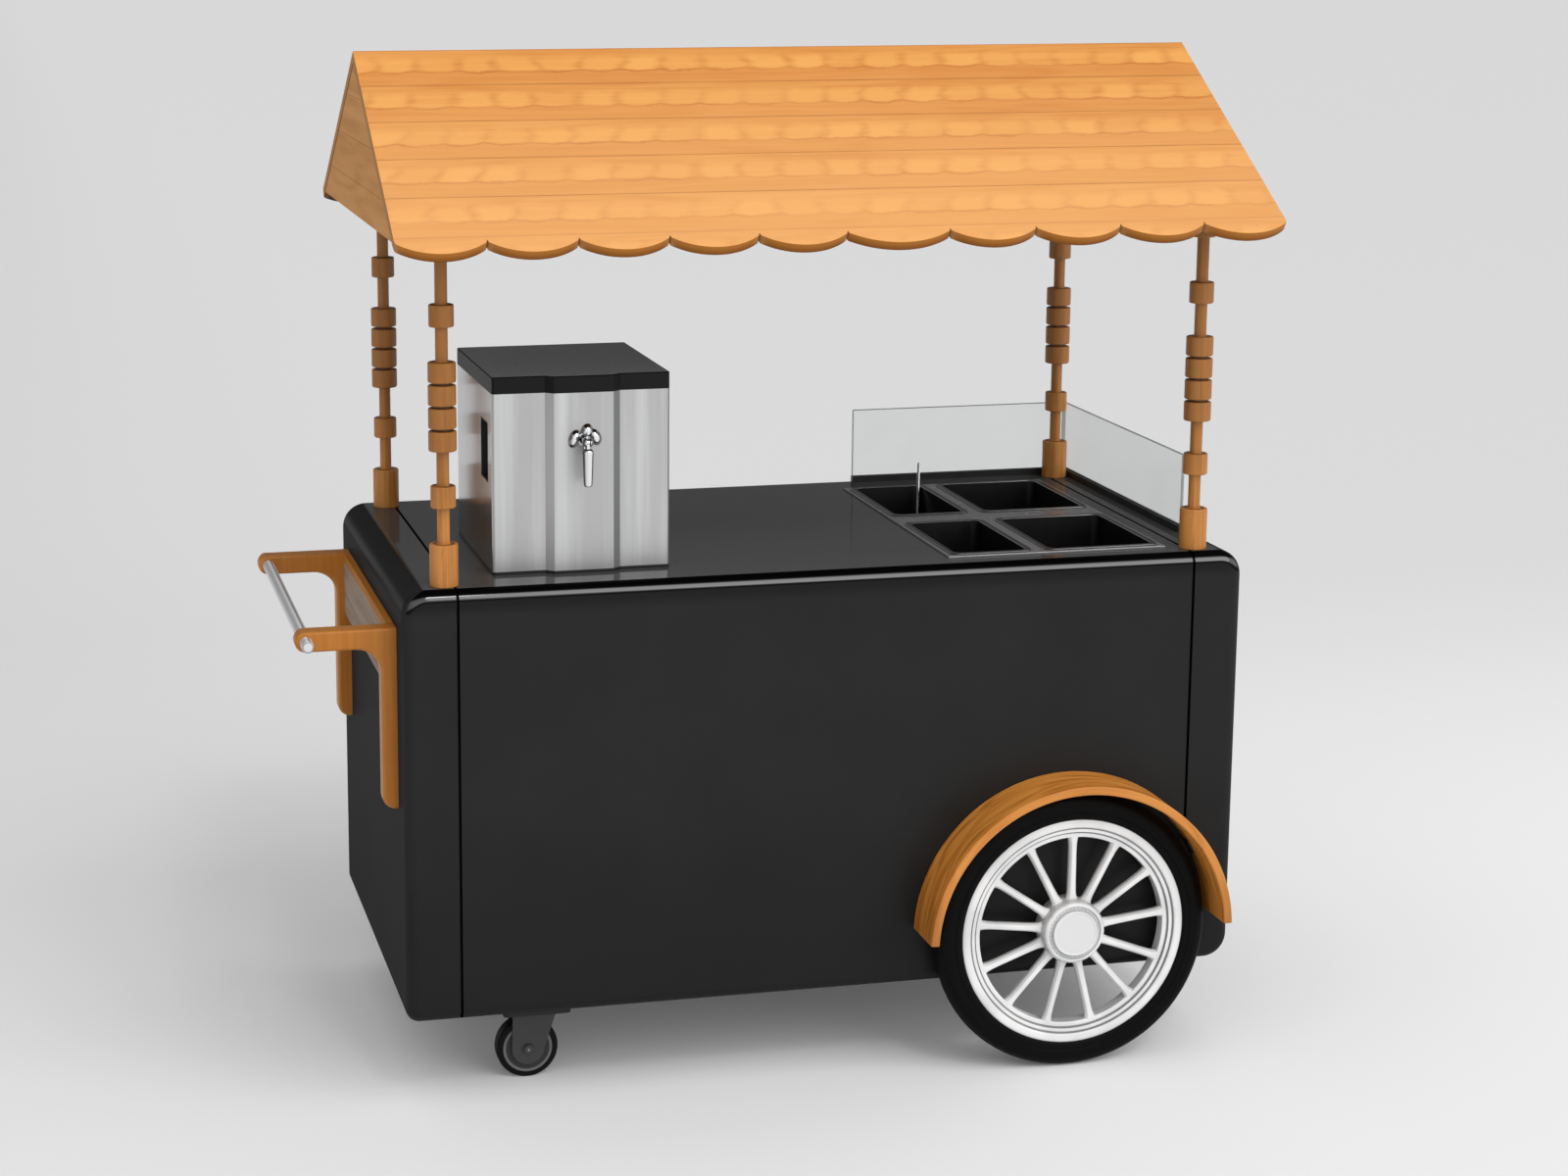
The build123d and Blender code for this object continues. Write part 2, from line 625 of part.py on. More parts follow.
def fender():
    """Half ring of bent wood over the wheel, standing out from the wall."""
    front = -HALF_DEPTH - FENDER_WIDTH
    ring = rod_y(FENDER_OUTER, front, -HALF_DEPTH, AXLE_X, TYRE_RADIUS)
    ring -= rod_y(FENDER_INNER, front - 1, -HALF_DEPTH + 1, AXLE_X, TYRE_RADIUS)
    foot = TYRE_RADIUS + FENDER_FOOT_RISE
    reach = FENDER_OUTER + 1
    ring -= block(AXLE_X - reach, AXLE_X + reach, front - 1, 0, foot - 2 * reach, foot)
    return ring


def fender_brackets():
    """Steel angles inside the arch, between the fender and the wall."""
    half = FENDER_BRACKET_LEG / 2
    thick = FENDER_BRACKET_THICKNESS
    pieces = []
    for angle in FENDER_BRACKET_ANGLES:
        seat = math.sqrt(FENDER_INNER ** 2 - half ** 2) - INSIDE_CLEARANCE
        wall_leg = block(-half, half, -HALF_DEPTH - thick, -HALF_DEPTH, seat - FENDER_BRACKET_LEG, seat)
        wood_leg = block(-half, half, -HALF_DEPTH - FENDER_BRACKET_LEG, -HALF_DEPTH, seat - thick, seat)
        turn = Pos(AXLE_X, 0, TYRE_RADIUS) * Rot(0, 90 - angle, 0)
        pieces.append(turn * (wall_leg + wood_leg))
    return pieces


# Swivel casters, drawn on the customer's side and mirrored

MOUNT_BOTTOM = BODY_BOTTOM - CASTER_MOUNT_HEIGHT
RACE_TOP = MOUNT_BOTTOM - END_FLOAT
CROWN_TOP = RACE_TOP - CASTER_RACE_HEIGHT
CROWN_BOTTOM = CROWN_TOP - FORK_CROWN_THICKNESS
CHEEK_IN = CASTER_WHEEL_WIDTH / 2 + FORK_CHEEK_GAP
CHEEK_OUT = CHEEK_IN + FORK_CHEEK_THICKNESS
CASTER_WHEEL_X = CASTER_X - CASTER_TRAIL


def caster_rod(radius, y0, y1):
    """Cylinder along the caster wheel's axle, its ends measured from the wheel's middle."""
    return rod_y(radius, -CASTER_Y + y0, -CASTER_Y + y1, CASTER_WHEEL_X, CASTER_WHEEL_RADIUS)


def caster_mount():
    half = CASTER_MOUNT_LENGTH / 2
    wide = CASTER_MOUNT_WIDTH / 2
    body = block(
        CASTER_X - half, CASTER_X + half, -CASTER_Y - wide, -CASTER_Y + wide, MOUNT_BOTTOM, BODY_BOTTOM,
    )
    body = fillet(body.edges().filter_by(Axis.Z), CASTER_MOUNT_EDGE)
    bore = CASTER_KINGPIN_RADIUS + RUNNING_CLEARANCE
    bore_top = MOUNT_BOTTOM + CASTER_KINGPIN_LENGTH + 1
    return body - rod_z(bore, MOUNT_BOTTOM - 1, bore_top, CASTER_X, -CASTER_Y)


def fork_cheek():
    """Side plate of the fork in X-Z: wide at the crown, round about the axle."""
    low = CASTER_WHEEL_RADIUS
    left = CASTER_WHEEL_X - FORK_END_RADIUS
    right = CASTER_WHEEL_X + FORK_END_RADIUS
    half = FORK_CROWN_LENGTH / 2
    outline = Polyline(
        (left, low), (CASTER_X - half, CROWN_TOP), (CASTER_X + half, CROWN_TOP), (right, low),
    )
    outline += ThreePointArc((right, low), (CASTER_WHEEL_X, low - FORK_END_RADIUS), (left, low))
    return Plane.XZ * make_face(outline)


def caster_fork():
    race = rod_z(CASTER_RACE_RADIUS, CROWN_TOP, RACE_TOP, CASTER_X, -CASTER_Y)
    pin_top = MOUNT_BOTTOM + CASTER_KINGPIN_LENGTH
    pin = rod_z(CASTER_KINGPIN_RADIUS, RACE_TOP, pin_top, CASTER_X, -CASTER_Y)
    half = FORK_CROWN_LENGTH / 2
    crown = block(
        CASTER_X - half, CASTER_X + half,
        -CASTER_Y - CHEEK_OUT, -CASTER_Y + CHEEK_OUT, CROWN_BOTTOM, CROWN_TOP,
    )
    fork = crown + race + pin
    plate = extrude(fork_cheek(), FORK_CHEEK_THICKNESS)
    fork += Pos(0, -CASTER_Y - CHEEK_IN, 0) * plate
    fork += Pos(0, -CASTER_Y + CHEEK_OUT, 0) * plate
    hole = CASTER_AXLE_RADIUS + INSIDE_CLEARANCE
    return fork - caster_rod(hole, -2 * CHEEK_OUT, 2 * CHEEK_OUT)


def caster_wheel():
    """Wheel with a bonded tread, a raised ring on each side and a hub."""
    half = CASTER_WHEEL_WIDTH / 2
    tread = caster_rod(CASTER_WHEEL_RADIUS, -half, half)
    tread = fillet(tread.edges().filter_by(GeomType.CIRCLE), CASTER_WHEEL_EDGE)
    ring = caster_rod(CASTER_RING_OUTER, -half - CASTER_RING_RISE, half + CASTER_RING_RISE)
    ring -= caster_rod(CASTER_RING_INNER, -2 * half, 2 * half)
    hub_reach = CHEEK_IN - END_FLOAT
    hub = caster_rod(2 * CASTER_AXLE_RADIUS, -hub_reach, hub_reach)
    return tread + ring + hub - caster_rod(CASTER_AXLE_RADIUS + RUNNING_CLEARANCE, -2 * half, 2 * half)


def caster_axle():
    reach = CHEEK_OUT + CASTER_AXLE_RADIUS
    bolt = caster_rod(CASTER_AXLE_RADIUS, -CHEEK_OUT, reach)
    head = caster_rod(CASTER_BOLT_HEAD, -reach, -CHEEK_OUT)
    head = fillet(head.edges().sort_by(Axis.Y)[0], CASTER_AXLE_RADIUS / 2)
    nut = extrude(Plane.XZ * RegularPolygon(CASTER_BOLT_HEAD, 6), -CASTER_AXLE_RADIUS)
    nut = Pos(CASTER_WHEEL_X, -CASTER_Y + CHEEK_OUT, CASTER_WHEEL_RADIUS) * nut
    return bolt + head + nut


# Push handle: two wooden brackets, a board between them and a steel bar

HANDLE_BAR_X = -HALF_LENGTH - HANDLE_REACH + ARM_HEIGHT / 2
HANDLE_BAR_Z = HANDLE_TOP - ARM_HEIGHT / 2


def handle_bracket():
    wall = -HALF_LENGTH
    tip = wall - HANDLE_REACH
    leg = wall - LEG_THICKNESS
    foot = HANDLE_TOP - LEG_LENGTH
    under = HANDLE_TOP - ARM_HEIGHT
    face = make_face(Polyline(
        (wall, HANDLE_TOP), (tip, HANDLE_TOP), (tip, under),
        (leg, under), (leg, foot), (wall, foot), close=True,
    ))
    face = round_corner(face, leg, under, BRACKET_FILLET)
    face = round_corner(face, leg, foot, LEG_END_RADIUS)
    face = round_corner(face, tip, under, ARM_HEIGHT * 0.49)
    face = round_corner(face, tip, HANDLE_TOP, ARM_HEIGHT * 0.49)
    solid = extrude(Plane.XZ * face, BRACKET_WIDTH / 2, both=True)
    sides = [solid.faces().sort_by(Axis.Y)[0], solid.faces().sort_by(Axis.Y)[-1]]
    rims = [e for side in sides for e in side.edges() if e.center().X < wall - 1]
    solid = fillet(rims, BRACKET_EDGE)
    hole = HANDLE_BAR_RADIUS + INSIDE_CLEARANCE
    return solid - rod_y(hole, -BRACKET_WIDTH, BRACKET_WIDTH, HANDLE_BAR_X, HANDLE_BAR_Z)


def handle_bar():
    reach = HANDLE_SPREAD + BRACKET_WIDTH / 2 + HANDLE_BAR_OVERHANG
    bar = rod_y(HANDLE_BAR_RADIUS, -reach, reach, HANDLE_BAR_X, HANDLE_BAR_Z)
    return fillet(bar.edges().filter_by(GeomType.CIRCLE), HANDLE_BAR_RADIUS * 0.8)


def handle_board():
    reach = HANDLE_SPREAD - BRACKET_WIDTH / 2
    return block(
        -HALF_LENGTH - BACK_BOARD_THICKNESS, -HALF_LENGTH, -reach, reach,
        HANDLE_TOP - BACK_BOARD_HEIGHT, HANDLE_TOP,
    )


# Turned posts, each with a stout base and a slimmer head, on steel studs

def bead(radius, z0, z1):
    solid = rod_z(radius, z0, z1, 0, 0)
    return fillet(solid.edges().filter_by(GeomType.CIRCLE), BEAD_EDGE)


def post():
    solid = rod_z(POST_ROD_RADIUS, 0, POST_HEIGHT, 0, 0)
    stack_height = STACK_COUNT * STACK_BEAD_HEIGHT + (STACK_COUNT - 1) * STACK_GAP
    start = (POST_HEIGHT - stack_height) / 2
    solid += rod_z(STACK_NECK_RADIUS, start + STACK_GAP, start + stack_height - STACK_GAP, 0, 0)
    for number in range(STACK_COUNT):
        low = start + number * (STACK_BEAD_HEIGHT + STACK_GAP)
        solid += bead(STACK_RADIUS, low, low + STACK_BEAD_HEIGHT)
    for centre in (BEAD_CENTRE, POST_HEIGHT - BEAD_CENTRE):
        solid += bead(BEAD_RADIUS, centre - BEAD_HEIGHT / 2, centre + BEAD_HEIGHT / 2)
    solid += bead(POST_BASE_RADIUS, 0, POST_BASE_HEIGHT)
    solid += bead(BEAD_RADIUS, POST_HEIGHT - POST_HEAD_HEIGHT, POST_HEIGHT)
    bore = STUD_RADIUS + STUD_CLEARANCE
    solid -= rod_z(bore, -1, STUD_DEPTH, 0, 0)
    solid -= rod_z(bore, POST_HEIGHT - STUD_DEPTH, POST_HEIGHT + 1, 0, 0)
    return solid


def post_studs():
    """A stud up from the body and a dowel down from the roof rail at each post."""
    low_end = INNER_TOP - INSIDE_CLEARANCE - STUD_DEPTH
    pieces = []
    for x, y in post_places():
        pieces.append(rod_z(STUD_RADIUS, low_end, COUNTER_HEIGHT + STUD_DEPTH, x, y))
        pieces.append(rod_z(STUD_RADIUS, POST_TOP - STUD_DEPTH, POST_TOP + ROOF_DOWEL, x, y))
    return pieces


# Gabled roof: two scalloped panels on two end boards and two rails

def roof_panel():
    """Sloping front panel, its lower edge cut in scallops, mitred at the ridge."""
    run = EAVE_Y / math.cos(ROOF_SLOPE)
    half = ROOF_LENGTH / 2
    outline = Polyline((-half, -run), (-half, ROOF_THICKNESS), (half, ROOF_THICKNESS), (half, -run))
    plain = (ROOF_LENGTH - WIDE_SCALLOP_EXTRA) / SCALLOP_COUNT
    x = -half
    for number in range(SCALLOP_COUNT):
        width = plain + WIDE_SCALLOP_EXTRA if number == WIDE_SCALLOP else plain
        outline += ThreePointArc((x, -run), (x + width / 2, -run - SCALLOP_DEPTH), (x + width, -run))
        x += width
    slope = Plane(
        origin=(0, 0, RIDGE_HEIGHT), x_dir=(1, 0, 0),
        z_dir=(0, -math.sin(ROOF_SLOPE), math.cos(ROOF_SLOPE)),
    )
    panel = extrude(slope * make_face(outline), -ROOF_THICKNESS)
    return panel - block(-half - 1, half + 1, 0, EAVE_Y, 0, 2 * RIDGE_HEIGHT)


def under_roof(y):
    """Height of the panels' underside at a distance from the ridge."""
    return RIDGE_HEIGHT - ROOF_DROP - ROOF_RISE * abs(y)


def gable():
    reach = (under_roof(0) - GABLE_BOTTOM) / ROOF_RISE
    corners = [(-reach, GABLE_BOTTOM), (reach, GABLE_BOTTOM), (0, under_roof(0))]
    face = make_face(Polyline(*corners, close=True))
    outer = ROOF_LENGTH / 2 - GABLE_INSET
    return Pos(outer - GABLE_THICKNESS, 0, 0) * extrude(Plane.YZ * face, GABLE_THICKNESS)


def roof_rail():
    """Rail on the front posts, its top planed to the roof's slope."""
    y0 = -POST_Y - ROOF_RAIL_WIDTH / 2
    y1 = -POST_Y + ROOF_RAIL_WIDTH / 2
    face = make_face(Polyline(
        (y0, POST_TOP), (y1, POST_TOP), (y1, under_roof(y1)), (y0, under_roof(y0)), close=True,
    ))
    half = ROOF_LENGTH / 2 - GABLE_INSET - GABLE_THICKNESS
    rail = extrude(Plane.YZ * face, half, both=True)
    for side in (-1, 1):
        hole = STUD_RADIUS + STUD_CLEARANCE
        rail -= rod_z(hole, POST_TOP - 1, POST_TOP + ROOF_DOWEL + 1, side * POST_X, -POST_Y)
    return rail


# Glass guard behind and beside the pans, in a channel on the counter

GLASS_LEFT = PAN_FRAME_LEFT + GLASS_LEFT_INSET
GLASS_FRONT = PAN_FRAME_FRONT + GLASS_FRONT_INSET
GLASS_RIGHT_X = POST_X + POST_BASE_RADIUS + GLASS_POST_GAP + CHANNEL_WIDTH / 2
GLASS_REAR_Y = POST_Y + POST_BASE_RADIUS + GLASS_POST_GAP + CHANNEL_WIDTH / 2
GLASS_FOOT = COUNTER_HEIGHT + CHANNEL_FLOOR
GLASS_TOP = COUNTER_HEIGHT + GLASS_HEIGHT


def glass_edges(pane):
    return chamfer(pane.edges(), GLASS_EDGE)


def rear_glass():
    half = GLASS_THICKNESS / 2
    end = GLASS_RIGHT_X - half - GLASS_CLEARANCE
    return glass_edges(block(
        GLASS_LEFT, end, GLASS_REAR_Y - half, GLASS_REAR_Y + half, GLASS_FOOT, GLASS_TOP,
    ))


def right_glass():
    half = GLASS_THICKNESS / 2
    return glass_edges(block(
        GLASS_RIGHT_X - half, GLASS_RIGHT_X + half,
        GLASS_FRONT, GLASS_REAR_Y + half, GLASS_FOOT, GLASS_TOP,
    ))


def glass_channel():
    wide = CHANNEL_WIDTH / 2
    slot = GLASS_THICKNESS / 2 + GLASS_CLEARANCE
    top = COUNTER_HEIGHT + CHANNEL_HEIGHT
    left = GLASS_LEFT
    front = GLASS_FRONT
    right = GLASS_RIGHT_X
    rear = GLASS_REAR_Y
    body = block(left, right + wide, rear - wide, rear + wide, COUNTER_HEIGHT, top)
    body += block(right - wide, right + wide, front, rear + wide, COUNTER_HEIGHT, top)
    body -= block(left - 1, right + slot, rear - slot, rear + slot, GLASS_FOOT, top + 1)
    return body - block(right - slot, right + slot, front - 1, rear + slot, GLASS_FOOT, top + 1)


# Serving pans: four loose pans hung in one frame in the counter

PAN_SEAT = COUNTER_HEIGHT + PAN_FRAME_THICKNESS
PAN_COLUMNS = {
    "left": (PAN_FRAME_LEFT + PAN_MARGIN, PAN_LEFT_WIDTH),
    "right": (PAN_FRAME_LEFT + PAN_MARGIN + PAN_LEFT_WIDTH + PAN_COLUMN_GAP, PAN_RIGHT_WIDTH),
}
PAN_ROWS = {
    "front": PAN_FRAME_FRONT + PAN_MARGIN,
    "rear": PAN_FRAME_REAR - PAN_MARGIN - PAN_ROW_DEPTH,
}


def pan_outline(row, column, grow):
    """Rounded plan outline of a pan's mouth, grown on every side."""
    x, width = PAN_COLUMNS[column]
    y = PAN_ROWS[row]
    centre = Pos(x + width / 2, y + PAN_ROW_DEPTH / 2)
    return centre * RectangleRounded(width + 2 * grow, PAN_ROW_DEPTH + 2 * grow, PAN_CORNER + grow)


def pan_tub(row, column, grow, top, bottom):
    """Tapering tub between two heights."""
    upper = Pos(0, 0, top) * pan_outline(row, column, grow)
    lower = Pos(0, 0, bottom) * pan_outline(row, column, grow - PAN_DRAFT)
    return loft([lower, upper])


def pan(row, column):
    top = PAN_SEAT + PAN_FLANGE_THICKNESS
    flange = extrude(Pos(0, 0, PAN_SEAT) * pan_outline(row, column, PAN_FLANGE), PAN_FLANGE_THICKNESS)
    outside = pan_tub(row, column, PAN_WALL, PAN_SEAT, top - PAN_DEPTH)
    inside = pan_tub(row, column, 0, PAN_SEAT, top - PAN_DEPTH + PAN_WALL)
    mouth = extrude(Pos(0, 0, PAN_SEAT) * pan_outline(row, column, 0), PAN_FLANGE_THICKNESS + 1)
    return flange + outside - inside - mouth


def pan_frame():
    left = PAN_FRAME_LEFT
    right = PAN_FRAME_RIGHT
    front = PAN_FRAME_FRONT
    rear = PAN_FRAME_REAR
    plate = block(left, right, front, rear, COUNTER_HEIGHT, PAN_SEAT)
    plate = fillet(plate.edges().filter_by(Axis.Z), PAN_FRAME_CORNER)
    inset = PAN_FRAME_LIP + PAN_CLEARANCE
    plate += block(
        left + inset, right - inset, front + inset, rear - inset,
        PAN_SEAT - PAN_FRAME_SKIRT, COUNTER_HEIGHT,
    )
    for row in PAN_ROWS:
        for column in PAN_COLUMNS:
            hole = pan_outline(row, column, PAN_WALL + PAN_CLEARANCE)
            plate -= extrude(Pos(0, 0, PAN_SEAT - 2 * PAN_FRAME_SKIRT) * hole, 3 * PAN_FRAME_SKIRT)
    return plate


def serving_spoon():
    """Round-handled spoon standing in the rear left pan, leaning in its far corner."""
    column, width = PAN_COLUMNS["left"]
    corner_x = column + width
    corner_y = PAN_ROWS["rear"] + PAN_ROW_DEPTH
    floor = PAN_SEAT + PAN_FLANGE_THICKNESS - PAN_DEPTH + PAN_WALL + SPOON_CLEARANCE
    foot = Vector(corner_x - SPOON_FOOT_INSET[0], corner_y - SPOON_FOOT_INSET[1], floor + SPOON_RADIUS)
    room = PAN_CORNER - 1.2 * SPOON_RADIUS - SPOON_CLEARANCE
    angle = math.radians(SPOON_CORNER_ANGLE)
    rest = Vector(
        corner_x - PAN_CORNER + room * math.cos(angle),
        corner_y - PAN_CORNER + room * math.sin(angle),
        PAN_SEAT + PAN_FLANGE_THICKNESS,
    )
    lean = (rest - foot).normalized()
    length = (COUNTER_HEIGHT + SPOON_RISE - foot.Z) / lean.Z
    handle = Pos(0, 0, length / 2) * Cylinder(SPOON_RADIUS, length)
    handle = fillet(handle.edges().filter_by(GeomType.CIRCLE), SPOON_RADIUS * 0.6)
    bowl = extrude(Plane.XZ * Ellipse(SPOON_BOWL_WIDTH / 2, SPOON_BOWL_LENGTH / 2), 1.2, both=True)
    lift = Pos(0, 0, SPOON_BOWL_LENGTH / 2)
    return Plane(origin=foot, x_dir=(1, 0, 0), z_dir=lean) * (handle + lift * bowl)


# Drink dispenser: steel case, inner tank, lid, two grips and a tap

DISPENSER_LEFT = -HALF_LENGTH + DISPENSER_END_DISTANCE
DISPENSER_RIGHT = DISPENSER_LEFT + DISPENSER_WIDTH
DISPENSER_FRONT = -HALF_DEPTH + DISPENSER_SIDE_DISTANCE
DISPENSER_REAR = DISPENSER_FRONT + DISPENSER_DEPTH
DISPENSER_TOP = COUNTER_HEIGHT + DISPENSER_HEIGHT
BAY_X0 = DISPENSER_LEFT + BAY_LEFT
BAY_X1 = BAY_X0 + BAY_WIDTH
BAY_FRONT = DISPENSER_FRONT - BAY_DEPTH


def dispenser_outline(inset):
    """Plan of the case, its middle bay standing forward, drawn in by inset."""
    left = DISPENSER_LEFT + inset
    right = DISPENSER_RIGHT - inset
    front = DISPENSER_FRONT + inset
    rear = DISPENSER_REAR - inset
    face = make_face(Polyline(
        (left, rear), (left, front), (BAY_X0 + inset / 2, front),
        (BAY_X0 + BAY_BEVEL + inset / 2, BAY_FRONT + inset),
        (BAY_X1 - BAY_BEVEL - inset / 2, BAY_FRONT + inset),
        (BAY_X1 - inset / 2, front), (right, front), (right, rear), close=True,
    ))
    for u, v in ((left, rear), (left, front), (right, front), (right, rear)):
        face = round_corner(face, u, v, DISPENSER_EDGE - inset)
    return face


def tank_block(inset, low, high):
    gap = DISPENSER_WALL + TANK_GAP + inset
    solid = block(
        DISPENSER_LEFT + gap, DISPENSER_RIGHT - gap,
        DISPENSER_FRONT + gap, DISPENSER_REAR - gap, low, high,
    )
    return fillet(solid.edges().filter_by(Axis.Z), TANK_CORNER)


GRIP_Y0 = DISPENSER_FRONT + GRIP_FRONT_INSET
GRIP_Z = COUNTER_HEIGHT + GRIP_CENTRE_HEIGHT
TAP_X = (BAY_X0 + BAY_X1) / 2
TAP_Z = COUNTER_HEIGHT + TAP_HEIGHT


def grip_box(grow, x0, x1):
    """Pocket in the left side between two depths."""
    return block(
        DISPENSER_LEFT + x0, DISPENSER_LEFT + x1, GRIP_Y0 - grow, GRIP_Y0 + GRIP_WIDTH + grow,
        GRIP_Z - GRIP_HEIGHT / 2 - grow, GRIP_Z + GRIP_HEIGHT / 2 + grow,
    )


def across_dispenser(shape):
    """The same shape on the dispenser's other side."""
    middle = (DISPENSER_LEFT + DISPENSER_RIGHT) / 2
    return mirror(shape, about=Plane((middle, 0, 0), z_dir=(1, 0, 0)))


def dispenser_body():
    case = extrude(Pos(0, 0, COUNTER_HEIGHT) * dispenser_outline(0), DISPENSER_HEIGHT)
    floor = COUNTER_HEIGHT + DISPENSER_WALL
    case -= extrude(Pos(0, 0, floor) * dispenser_outline(DISPENSER_WALL), DISPENSER_HEIGHT)
    window = grip_box(INSIDE_CLEARANCE, -1, DISPENSER_WALL + 1)
    case = case - window - across_dispenser(window)
    shank = TAP_SHANK_RADIUS + INSIDE_CLEARANCE
    return case - rod_y(shank, BAY_FRONT - 1, BAY_FRONT + 2 * DISPENSER_WALL, TAP_X, TAP_Z)


def dispenser_grip():
    cup = grip_box(0, 0, GRIP_DEPTH) + grip_box(GRIP_WALL, DISPENSER_WALL, GRIP_DEPTH)
    return cup - grip_box(-GRIP_WALL, -1, GRIP_DEPTH - GRIP_WALL)


def dispenser_tank():
    """Open inner tank on a pedestal, with a hole for the tap's shank."""
    low = COUNTER_HEIGHT + TANK_FLOOR_HEIGHT
    tank = tank_block(0, low, DISPENSER_TOP) - tank_block(TANK_WALL, low + TANK_WALL, DISPENSER_TOP + 1)
    foot = tank_block(TANK_GAP, COUNTER_HEIGHT + DISPENSER_WALL, low)
    shank = TAP_SHANK_RADIUS + INSIDE_CLEARANCE
    wall = DISPENSER_FRONT + DISPENSER_WALL + TANK_GAP
    return tank + foot - rod_y(shank, wall - 1, wall + TANK_WALL + 1, TAP_X, TAP_Z)


def dispenser_lid():
    plate = extrude(Pos(0, 0, DISPENSER_TOP) * dispenser_outline(0), LID_THICKNESS)
    plate = chamfer(plate.faces().sort_by(Axis.Z)[-1].edges(), LID_EDGE)
    return plate + tank_block(TANK_WALL + LID_CLEARANCE, DISPENSER_TOP - LID_PLUG_DEPTH, DISPENSER_TOP)


TAP_Y = BAY_FRONT - TAP_REACH


def tap_body():
    """Lobed plate, boss, ball end with a slot for the lever, nozzle and shank."""
    tap = rod_y(TAP_BOSS_RADIUS, TAP_Y, BAY_FRONT, TAP_X, TAP_Z)
    face = BAY_FRONT - TAP_PLATE_THICKNESS
    for x, z in (
        (-TAP_LOBE_SPREAD, TAP_LOBE_RISE), (TAP_LOBE_SPREAD, TAP_LOBE_RISE), (0, TAP_TOP_LOBE_RISE),
    ):
        lobe = rod_y(TAP_LOBE_RADIUS, face, BAY_FRONT, TAP_X + x, TAP_Z + z)
        tap += fillet(lobe.edges().sort_by(Axis.Y)[0], TAP_LOBE_EDGE)
    tap += Pos(TAP_X, TAP_Y, TAP_Z) * Sphere(TAP_BALL_RADIUS)
    nozzle_y = face - TAP_NOZZLE_RADIUS - 1
    tap += rod_z(TAP_NOZZLE_RADIUS, TAP_Z - TAP_NOZZLE_DROP, TAP_Z, TAP_X, nozzle_y)
    shank_end = DISPENSER_FRONT + DISPENSER_WALL + TANK_GAP + TANK_WALL + 14
    tap += rod_y(TAP_SHANK_RADIUS, BAY_FRONT, shank_end, TAP_X, TAP_Z)
    half = TAP_TONGUE_WIDTH / 2 + TAP_SLOT_CLEARANCE
    room = 2 * TAP_BALL_RADIUS
    tap -= block(TAP_X - half, TAP_X + half, TAP_Y - room, TAP_Y + 5, TAP_Z - room, TAP_Z + 5)
    return tap + rod_x(TAP_PIN_RADIUS, TAP_X - 7, TAP_X + 7, TAP_Y, TAP_Z)


def tap_lever():
    """Tapered lever that hangs from the tap's cross pin."""
    top = TAP_Z - TAP_BALL_RADIUS - 1
    end = TAP_Z - TAP_LEVER_LENGTH
    grip = Cone(TAP_LEVER_END_RADIUS, TAP_LEVER_TOP_RADIUS, top - end)
    grip = Pos(TAP_X, TAP_Y, (top + end) / 2) * grip
    grip = fillet(grip.edges().filter_by(GeomType.CIRCLE), TAP_LEVER_EDGE)
    half = TAP_TONGUE_WIDTH / 2
    wide = TAP_TONGUE_RADIUS
    tongue = rod_x(wide, TAP_X - half, TAP_X + half, TAP_Y, TAP_Z)
    tongue += block(TAP_X - half, TAP_X + half, TAP_Y - wide, TAP_Y + wide, top - wide, TAP_Z)
    bore = rod_x(TAP_PIN_RADIUS + RUNNING_CLEARANCE, TAP_X - 9, TAP_X + 9, TAP_Y, TAP_Z)
    return grip + tongue - bore


# Write every node

os.makedirs("parts", exist_ok=True)

save("centre_shell", centre_shell())
save("right_end_cap", end_cap(RIGHT_FOOT_RADIUS))
save("left_end_cap", mirrored_x(end_cap(LEFT_FOOT_RADIUS)))
plate = bulkhead()
save("bulkheads", mirrored_x(plate), plate)
save("chassis_rails", *chassis_rails())
save("floor_joists", *floor_joists())
save("floor_panel", floor_panel())

save("rear_door", rear_door())
save("door_hinges", *door_hinges())
save("door_leaves", *door_leaves())

save("axle", axle())
save("axle_blocks", *axle_blocks())
nut = axle_nut()
save("axle_nuts", nut, mirrored_y(nut))
brackets = fender_brackets()
save("fender_brackets", *brackets, *[mirrored_y(b) for b in brackets])
bushes = wheel_bushes()
save("front_wheel_bushes", *bushes)
save("rear_wheel_bushes", *[mirrored_y(b) for b in bushes])
for name, shape in (
    ("wheel", wheel()), ("tyre", tyre()), ("hub_cap", hub_cap()), ("fender", fender()),
    ("caster_fork", caster_fork()), ("caster_wheel", caster_wheel()), ("caster_axle", caster_axle()),
):
    save("front_" + name, shape)
    save("rear_" + name, mirrored_y(shape))
mount = caster_mount()
save("caster_mounts", mount, mirrored_y(mount))

bracket = handle_bracket()
save("front_handle_bracket", Pos(0, -HANDLE_SPREAD, 0) * bracket)
save("rear_handle_bracket", Pos(0, HANDLE_SPREAD, 0) * bracket)
save("handle_board", handle_board())
save("handle_bar", handle_bar())

turned_post = post()
for name, (x, y) in zip(("front_left", "front_right", "rear_left", "rear_right"), post_places()):
    save(name + "_post", Pos(x, y, COUNTER_HEIGHT) * turned_post)
save("post_studs", *post_studs())

panel = roof_panel()
save("front_roof_panel", panel)
save("rear_roof_panel", mirrored_y(panel))
end_board = gable()
save("right_gable", end_board)
save("left_gable", mirrored_x(end_board))
rail = roof_rail()
save("roof_rails", rail, mirrored_y(rail))

save("rear_glass", rear_glass())
save("right_glass", right_glass())
save("glass_channel", glass_channel())

save("pan_frame", pan_frame())
for row in PAN_ROWS:
    for column in PAN_COLUMNS:
        save(f"{row}_{column}_pan", pan(row, column))
save("serving_spoon", serving_spoon())

